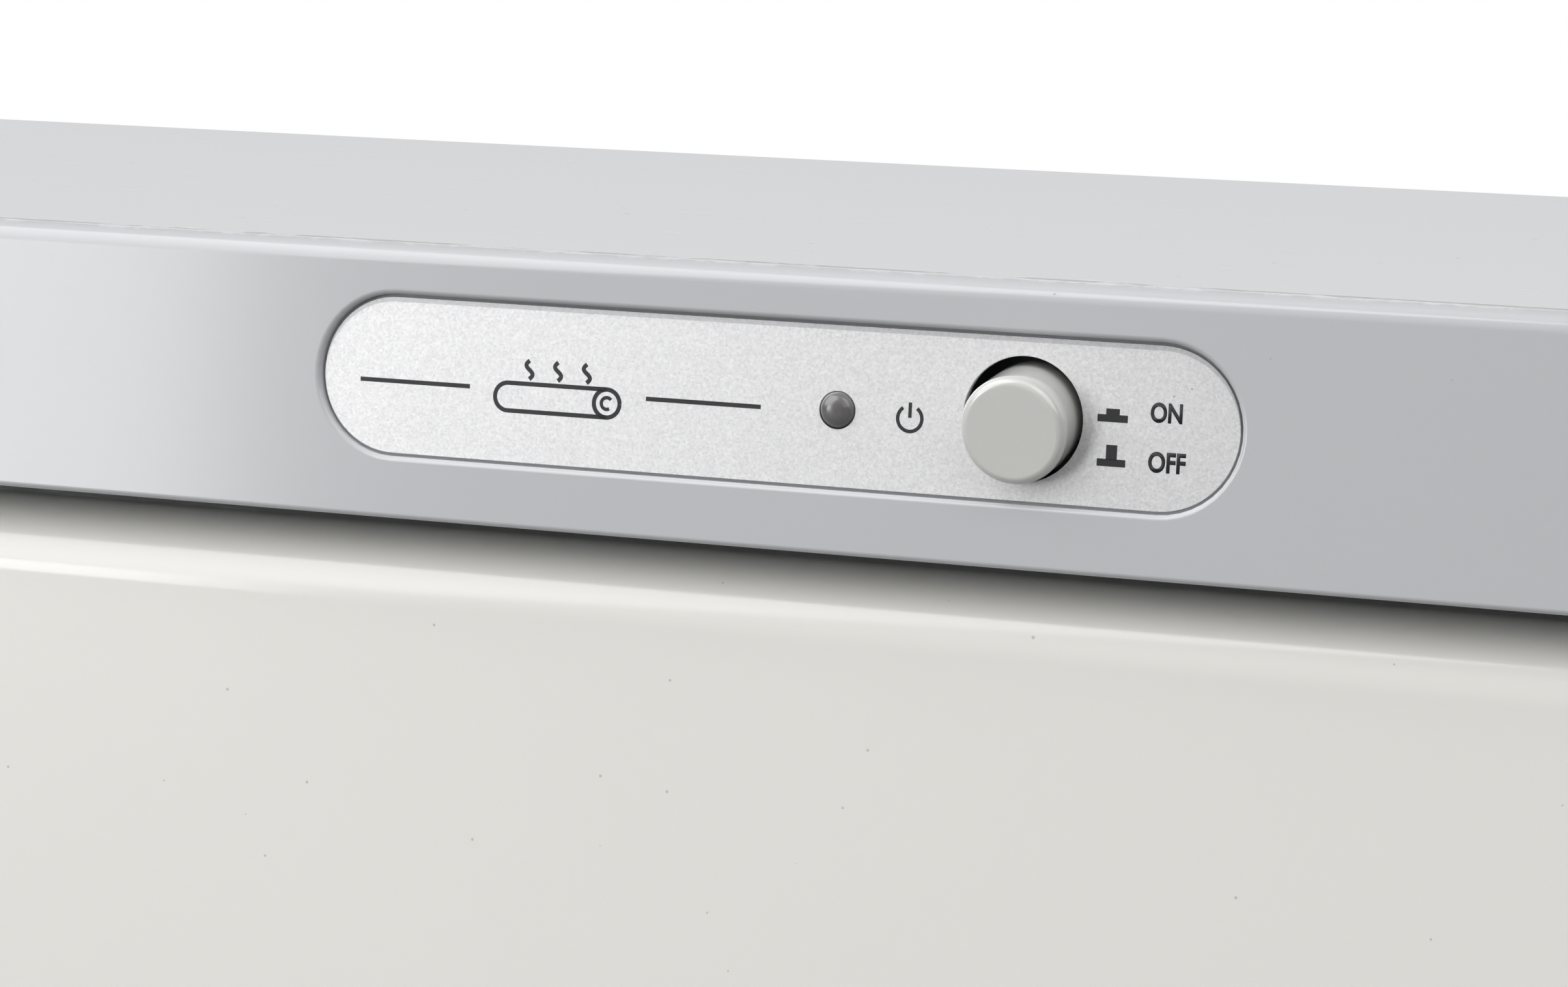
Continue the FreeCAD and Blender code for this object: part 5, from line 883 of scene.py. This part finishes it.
bead_front = socket(
    rack_tree,
    "GeometryNodeTransform",
    {
        "Geometry": bead,
        "Translation": socket(
            rack_tree,
            "ShaderNodeCombineXYZ",
            {
                "Y": reckon(rack_tree, "MULTIPLY", half_depth, -1.0),
                "Z": reckon(rack_tree, "MULTIPLY", given["Rod Wire"], -0.75),
            },
        ),
        "Scale": (1.5, 0.9, 0.62),
    },
)
bead_back = socket(
    rack_tree,
    "GeometryNodeTransform",
    {
        "Geometry": bead,
        "Translation": socket(
            rack_tree,
            "ShaderNodeCombineXYZ",
            {"Y": half_depth, "Z": reckon(rack_tree, "MULTIPLY", given["Rod Wire"], -0.75)},
        ),
        "Scale": (1.5, 0.9, 0.62),
    },
)
pitch = reckon(rack_tree, "DIVIDE", given["Width"], reckon(rack_tree, "ADD", given["Rods"], 1.0))
row_start = reckon(rack_tree, "MULTIPLY_ADD", given["Width"], -0.5, pitch)
row = socket(
    rack_tree,
    "GeometryNodeMeshLine",
    {
        "Count": given["Rods"],
        "Start Location": socket(
            rack_tree,
            "ShaderNodeCombineXYZ",
            {
                "X": row_start,
                "Z": reckon(
                    rack_tree, "MULTIPLY", reckon(rack_tree, "ADD", given["Frame Wire"], given["Rod Wire"]), 0.87
                ),
            },
        ),
        "Offset": socket(rack_tree, "ShaderNodeCombineXYZ", {"X": pitch}),
    },
    mode="OFFSET",
)
rods = socket(
    rack_tree,
    "GeometryNodeInstanceOnPoints",
    {"Points": row, "Instance": joined(rack_tree, [rod, bead_front, bead_back])},
)
moved = socket(
    rack_tree,
    "GeometryNodeTransform",
    {"Geometry": joined(rack_tree, [frame_wire, rods]), "Translation": given["Middle"]},
)
closing(rack_tree, moved, chrome, result)
for rack in ("lower_rack", "upper_rack"):
    low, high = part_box(rack)
    piece = grown(
        rack + "_wires",
        rack_tree,
        {
            "Width": high.x - low.x - 2 * FRAME_WIRE * MM,
            "Depth": high.y - low.y - 2 * FRAME_WIRE * MM,
            "Corner": RACK_CORNER * MM,
            "Frame Wire": FRAME_WIRE * MM,
            "Rod Wire": CROSS_ROD * MM,
            "Rods": RACK_RODS,
            "Middle": (0.0, (low.y + high.y) / 2, low.z + FRAME_WIRE * MM),
        },
    )
    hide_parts(rack)
    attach(piece, body_of[rack])


# Door: an off-white moulded shell with a large rounded top edge and a finger pull, backed by foam and a
# white inner panel that six screws hold. A silicone ring seals it.
door_gloss = finish(
    "door_gloss",
    (232, 231, 226),
    0.13,
    drift=(9.0, 0.006),
    skin=(240.0, 0.05, 0.02),
    dust=(300.0, 0.10, 0.10),
    marks=(600.0, 50.0, 0.3, 0.006, 0.42),
)
dressed("door_shell", door_gloss, crease=28)
door_lining = finish("door_lining", (226, 226, 222), 0.3, drift=(14.0, 0.01), skin=(500.0, 0.15, 0.03))
dressed("door_inner_panel", door_lining, crease=30)
foam = finish("door_foam", (238, 226, 190), 0.9, drift=(80.0, 0.06), skin=(900.0, 0.9, 0.3))
dressed("door_insulation", foam, crease=30)
seal_silicone = finish("seal_silicone", (120, 120, 122), 0.5, drift=(60.0, 0.03), skin=(900.0, 0.2, 0.03))
dressed("door_gasket", seal_silicone, crease=30, edge=0.4, steps=3)


# Magnetic catch: a black holder behind the frame's lip and a steel plate on the door.
dressed("catch_magnet", black_moulding, crease=35, edge=0.25)
pin_steel = finish(
    "pin_steel", (178, 180, 184), 0.26, metallic=1.0, drift=(120.0, 0.04), skin=(1600.0, 0.12, 0.02), mark_light=0.2
)
dressed("catch_plate", pin_steel, crease=35, edge=0.15)


# Hinges: two headed steel pins, each fast in a bracket inside the frame's stile.
for side in ("left", "right"):
    dressed("hinge_pin_" + side, pin_steel, crease=35)
    dressed("hinge_bracket_" + side, zinc, crease=35)


# Drip tray under the door, which slides out along two guides on the base pan.
tray_moulding = finish(
    "tray_moulding", (199, 200, 204), 0.14, drift=(10.0, 0.008), skin=(260.0, 0.06, 0.02), dust=(330.0, 0.1, 0.1)
)
dressed("drip_tray", tray_moulding, crease=28)
dressed("tray_guide_left", black_moulding, crease=35, edge=0.2)
dressed("tray_guide_right", black_moulding, crease=35, edge=0.2)


# Screws: pan-head machine screws with a cross slot and a cut thread, the same make all over.
screw_steel = finish(
    "screw_steel", (172, 174, 178), 0.3, metallic=1.0, drift=(300.0, 0.05), skin=(2000.0, 0.12, 0.02), mark_light=0.2
)
screw_tree, given, result = new_group(
    "pan_head_screws",
    "GeometryNodeTree",
    [
        ("Geometry", "NodeSocketGeometry", None),
        ("Head Radius", "NodeSocketFloat", 0.0029),
        ("Head Height", "NodeSocketFloat", 0.0016),
        ("Thread Radius", "NodeSocketFloat", 0.0015),
        ("Thread Length", "NodeSocketFloat", 0.006),
        ("Pitch", "NodeSocketFloat", 0.0006),
        ("Thread Depth", "NodeSocketFloat", 0.00022),
        ("Slot Width", "NodeSocketFloat", 0.0006),
    ],
    [("Geometry", "NodeSocketGeometry")],
)
head_blank = add(
    screw_tree,
    "GeometryNodeMeshCylinder",
    {
        "Vertices": 36,
        "Side Segments": 3,
        "Fill Segments": 8,
        "Radius": given["Head Radius"],
        "Depth": given["Head Height"],
    },
).outputs["Mesh"]
spot = socket(screw_tree, "GeometryNodeInputPosition")
spot_parts = add(screw_tree, "ShaderNodeSeparateXYZ", {"Vector": spot}).outputs
out_by = reckon(
    screw_tree,
    "SQRT",
    reckon(
        screw_tree,
        "MULTIPLY_ADD",
        spot_parts["X"],
        spot_parts["X"],
        reckon(screw_tree, "MULTIPLY", spot_parts["Y"], spot_parts["Y"]),
    ),
)
share_out = reckon(screw_tree, "DIVIDE", out_by, given["Head Radius"])
fall = reckon(screw_tree, "MULTIPLY", reckon(screw_tree, "POWER", share_out, 3.0), 0.42)
upness = reckon(
    screw_tree,
    "ADD",
    reckon(screw_tree, "DIVIDE", spot_parts["Z"], given["Head Height"]),
    0.5,
)
new_level = reckon(
    screw_tree,
    "MULTIPLY",
    reckon(screw_tree, "MULTIPLY", upness, given["Head Height"]),
    reckon(screw_tree, "SUBTRACT", 1.0, fall),
)
head = socket(
    screw_tree,
    "GeometryNodeSetPosition",
    {
        "Geometry": head_blank,
        "Position": socket(
            screw_tree, "ShaderNodeCombineXYZ", {"X": spot_parts["X"], "Y": spot_parts["Y"], "Z": new_level}
        ),
    },
)
slot_length = reckon(screw_tree, "MULTIPLY", given["Head Radius"], 1.15)
slot_box = socket(
    screw_tree,
    "GeometryNodeMeshCube",
    {
        "Size": socket(
            screw_tree,
            "ShaderNodeCombineXYZ",
            {"X": slot_length, "Y": given["Slot Width"], "Z": given["Head Height"]},
        )
    },
)
lift = socket(screw_tree, "ShaderNodeCombineXYZ", {"Z": given["Head Height"]})
first_slot = socket(screw_tree, "GeometryNodeTransform", {"Geometry": slot_box, "Translation": lift})
second_slot = socket(
    screw_tree,
    "GeometryNodeTransform",
    {"Geometry": slot_box, "Translation": lift, "Rotation": (0.0, 0.0, math.pi / 2)},
)
cut_once = add(
    screw_tree, "GeometryNodeMeshBoolean", {"Mesh 1": head, "Mesh 2": first_slot}, operation="DIFFERENCE"
).outputs["Mesh"]
cut_head = add(
    screw_tree, "GeometryNodeMeshBoolean", {"Mesh 1": cut_once, "Mesh 2": second_slot}, operation="DIFFERENCE"
).outputs["Mesh"]
shank_blank = add(
    screw_tree,
    "GeometryNodeMeshCylinder",
    {
        "Vertices": 18,
        "Side Segments": 40,
        "Radius": given["Thread Radius"],
        "Depth": given["Thread Length"],
    },
).outputs["Mesh"]
angle = reckon(screw_tree, "ARCTAN2", spot_parts["Y"], spot_parts["X"])
phase = reckon(
    screw_tree,
    "MULTIPLY_ADD",
    reckon(screw_tree, "DIVIDE", spot_parts["Z"], given["Pitch"]),
    2 * math.pi,
    angle,
)
notch = reckon(
    screw_tree,
    "MULTIPLY",
    reckon(screw_tree, "MULTIPLY_ADD", reckon(screw_tree, "SINE", phase), 0.5, 0.5),
    reckon(screw_tree, "DIVIDE", given["Thread Depth"], given["Thread Radius"]),
)
narrowed = socket(
    screw_tree,
    "ShaderNodeVectorMath",
    {
        0: spot,
        1: socket(
            screw_tree,
            "ShaderNodeCombineXYZ",
            {
                "X": reckon(screw_tree, "SUBTRACT", 1.0, notch),
                "Y": reckon(screw_tree, "SUBTRACT", 1.0, notch),
                "Z": 1.0,
            },
        ),
    },
    operation="MULTIPLY",
)
threaded = socket(screw_tree, "GeometryNodeSetPosition", {"Geometry": shank_blank, "Position": narrowed})
shank = socket(
    screw_tree,
    "GeometryNodeTransform",
    {
        "Geometry": threaded,
        "Translation": socket(
            screw_tree,
            "ShaderNodeCombineXYZ",
            {"Z": reckon(screw_tree, "MULTIPLY", given["Thread Length"], -0.5)},
        ),
    },
)
screw = joined(screw_tree, [cut_head, shank])
facing = socket(screw_tree, "GeometryNodeInputNamedAttribute", {"Name": "facing"}, data_type="FLOAT_VECTOR")
turn_out = socket(screw_tree, "FunctionNodeAlignRotationToVector", {"Vector": facing}, axis="Z")
spun = socket(
    screw_tree,
    "FunctionNodeRotateRotation",
    {
        "Rotation": turn_out,
        "Rotate By": socket(
            screw_tree,
            "FunctionNodeAxisAngleToRotation",
            {
                "Axis": (0.0, 0.0, 1.0),
                "Angle": add(
                    screw_tree, "FunctionNodeRandomValue", {"Min": 0.0, "Max": 6.28, "Seed": 7}, data_type="FLOAT"
                ).outputs[1],
            },
        ),
    },
    rotation_space="LOCAL",
)
placed = socket(
    screw_tree,
    "GeometryNodeInstanceOnPoints",
    {"Points": given["Geometry"], "Instance": screw, "Rotation": spun},
)
closing(screw_tree, placed, screw_steel, result)


def screw_seats(node):
    """Where each screw of a node sits, which way its head faces, and the sizes of one screw."""
    form = merged_form(node)
    waiting = set(form.verts)
    seats = []
    sizes = {}
    while waiting:
        island = [waiting.pop()]
        for corner in island:
            for side in corner.link_edges:
                other = side.other_vert(corner)
                if other in waiting:
                    waiting.remove(other)
                    island.append(other)
        low = Vector([min(corner.co[axis] for corner in island) for axis in range(3)])
        high = Vector([max(corner.co[axis] for corner in island) for axis in range(3)])
        middle = (low + high) / 2
        spans = high - low
        axis = max(range(3), key=lambda index: abs(spans[index] - sorted(spans)[1]))
        width = max(spans[index] for index in range(3) if index != axis)
        wide = [
            corner.co[axis]
            for corner in island
            if (corner.co - middle - Vector([(corner.co - middle)[axis] if index == axis else 0 for index in range(3)])).length
            > width * 0.49
        ]
        way = 1 if sum(wide) / len(wide) > middle[axis] else -1
        far = high[axis] if way > 0 else low[axis]
        seat = min(wide) if way > 0 else max(wide)
        place = middle.copy()
        place[axis] = seat
        facing = Vector((0, 0, 0))
        facing[axis] = way
        seats.append((place, facing))
        sizes = {
            "Head Radius": width / 2,
            "Head Height": abs(far - seat),
            "Thread Length": spans[axis] - abs(far - seat),
        }
    form.free()
    return sorted(seats, key=lambda item: tuple(item[0])), sizes


SCREW_GROUPS = (
    ("case_screws", 1.5),
    ("rear_screws", 1.5),
    ("chamber_screws", 1.5),
    ("switch_screws", 1.5),
    ("foot_screws", 1.5),
    ("hinge_screws", 1.5),
    ("door_screws", 1.5),
)
for node, thread_radius in SCREW_GROUPS:
    seats, sizes = screw_seats(node)
    points = bpy.data.meshes.new(node + "_seats")
    points.from_pydata([place[:] for place, facing in seats], [], [])
    ways = points.attributes.new("facing", "FLOAT_VECTOR", "POINT")
    for index, (place, facing) in enumerate(seats):
        ways.data[index].vector = facing
    piece = grown(node + "_cut", screw_tree, {**sizes, "Thread Radius": thread_radius * MM}, points)
    print("screws", node, len(seats), {key: round(value * 1000, 2) for key, value in sizes.items()}, len(piece.data.polygons))
    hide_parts(node)
    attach(piece, body_of[node])


# Floor and light: a pale sheet, soft light from above and from a tall white panel to the left, and a
# white room.
FLOOR_REACH = 3.0
floor_mesh = bpy.data.meshes.new("floor")
floor_form = bmesh.new()
bmesh.ops.create_circle(floor_form, cap_ends=True, segments=96, radius=FLOOR_REACH)
floor_form.to_mesh(floor_mesh)
floor_form.free()
paper = bpy.data.materials.new("paper")
paper.use_nodes = True
tree = paper.node_tree
matt = tree.nodes["Principled BSDF"]
matt.inputs["Roughness"].default_value = 0.7
glow = add(tree, "ShaderNodeEmission", {"Color": (1.0, 1.0, 1.0, 1.0), "Strength": 1.0})
out_there = add(
    tree,
    "ShaderNodeVectorMath",
    {0: add(tree, "ShaderNodeTexCoord").outputs["Object"]},
    operation="LENGTH",
).outputs["Value"]
far_off = add(
    tree,
    "ShaderNodeMapRange",
    {"Value": out_there, "From Min": 0.6, "From Max": 2.4},
    interpolation_type="SMOOTHSTEP",
).outputs[0]
seen = add(tree, "ShaderNodeLightPath").outputs["Is Camera Ray"]
paper_tone = add(
    tree,
    "ShaderNodeMix",
    {"Factor": seen, 6: shade(120, 120, 120), 7: shade(240, 240, 240)},
    data_type="RGBA",
)
tree.links.new(paper_tone.outputs[2], matt.inputs["Base Color"])
blend = add(
    tree,
    "ShaderNodeMixShader",
    {0: reckon(tree, "MULTIPLY", far_off, seen), 1: matt.outputs[0], 2: glow.outputs[0]},
)
tree.links.new(blend.outputs[0], tree.nodes["Material Output"].inputs["Surface"])
floor_mesh.materials.append(paper)
floor = bpy.data.objects.new("floor", floor_mesh)
bpy.context.scene.collection.objects.link(floor)

room = bpy.data.worlds.new("room")
room.use_nodes = True
tree = room.node_tree
light_path = add(tree, "ShaderNodeLightPath").outputs
shown = reckon(tree, "MAXIMUM", light_path["Is Camera Ray"], light_path["Is Transmission Ray"])
ROOM_LOW = 0.05
ROOM_HIGH = 0.35
upward = add(
    tree, "ShaderNodeSeparateXYZ", {"Vector": add(tree, "ShaderNodeTexCoord").outputs["Generated"]}
).outputs["Z"]
dim = add(
    tree,
    "ShaderNodeMapRange",
    {"Value": upward, "From Min": 0.0, "From Max": 0.7, "To Min": ROOM_LOW, "To Max": ROOM_HIGH},
    interpolation_type="SMOOTHSTEP",
).outputs[0]
tree.links.new(reckon(tree, "MAXIMUM", shown, dim), tree.nodes["Background"].inputs["Strength"])
tree.nodes["Background"].inputs["Color"].default_value = (1.0, 1.0, 1.0, 1.0)
bpy.context.scene.world = room


def soft_light(name, place, target, width, height, radiance):
    """A soft box at a place, facing a target, of a given brightness."""
    lamp = bpy.data.lights.new(name, "AREA")
    lamp.shape = "RECTANGLE"
    lamp.size = width
    lamp.size_y = height
    lamp.energy = radiance * math.pi * width * height
    holder = bpy.data.objects.new(name, lamp)
    holder.matrix_world = Matrix.Translation(place) @ (
        (Vector(target) - Vector(place)).to_track_quat("-Z", "Y").to_matrix().to_4x4()
    )
    holder.visible_camera = False
    bpy.context.scene.collection.objects.link(holder)


plate_x = plate_middle.x
soft_light("key", (plate_x - 1.15, -1.10, 1.27), (plate_x, -0.14, 0.22), 1.6, 1.7, 3.2)
soft_light("overhead", (plate_x, -0.75, 1.75), (plate_x, -0.10, 0.25), 2.0, 1.3, 0.7)
soft_light("left_panel", (plate_x - 1.377, -1.812, 0.20), (plate_x - 0.09, -0.14, 0.20), 0.7, 0.7, 6.3)
soft_light("right_panel", (plate_x + 1.10, -1.00, 1.30), (plate_x, -0.14, 0.24), 1.5, 1.5, 1.8)
soft_light("backdrop", (plate_x + 0.3, 2.10, 0.80), (plate_x, 0.0, 0.30), 5.2, 1.6, 0.70)

view = bpy.context.scene.view_settings
view.view_transform = "Standard"
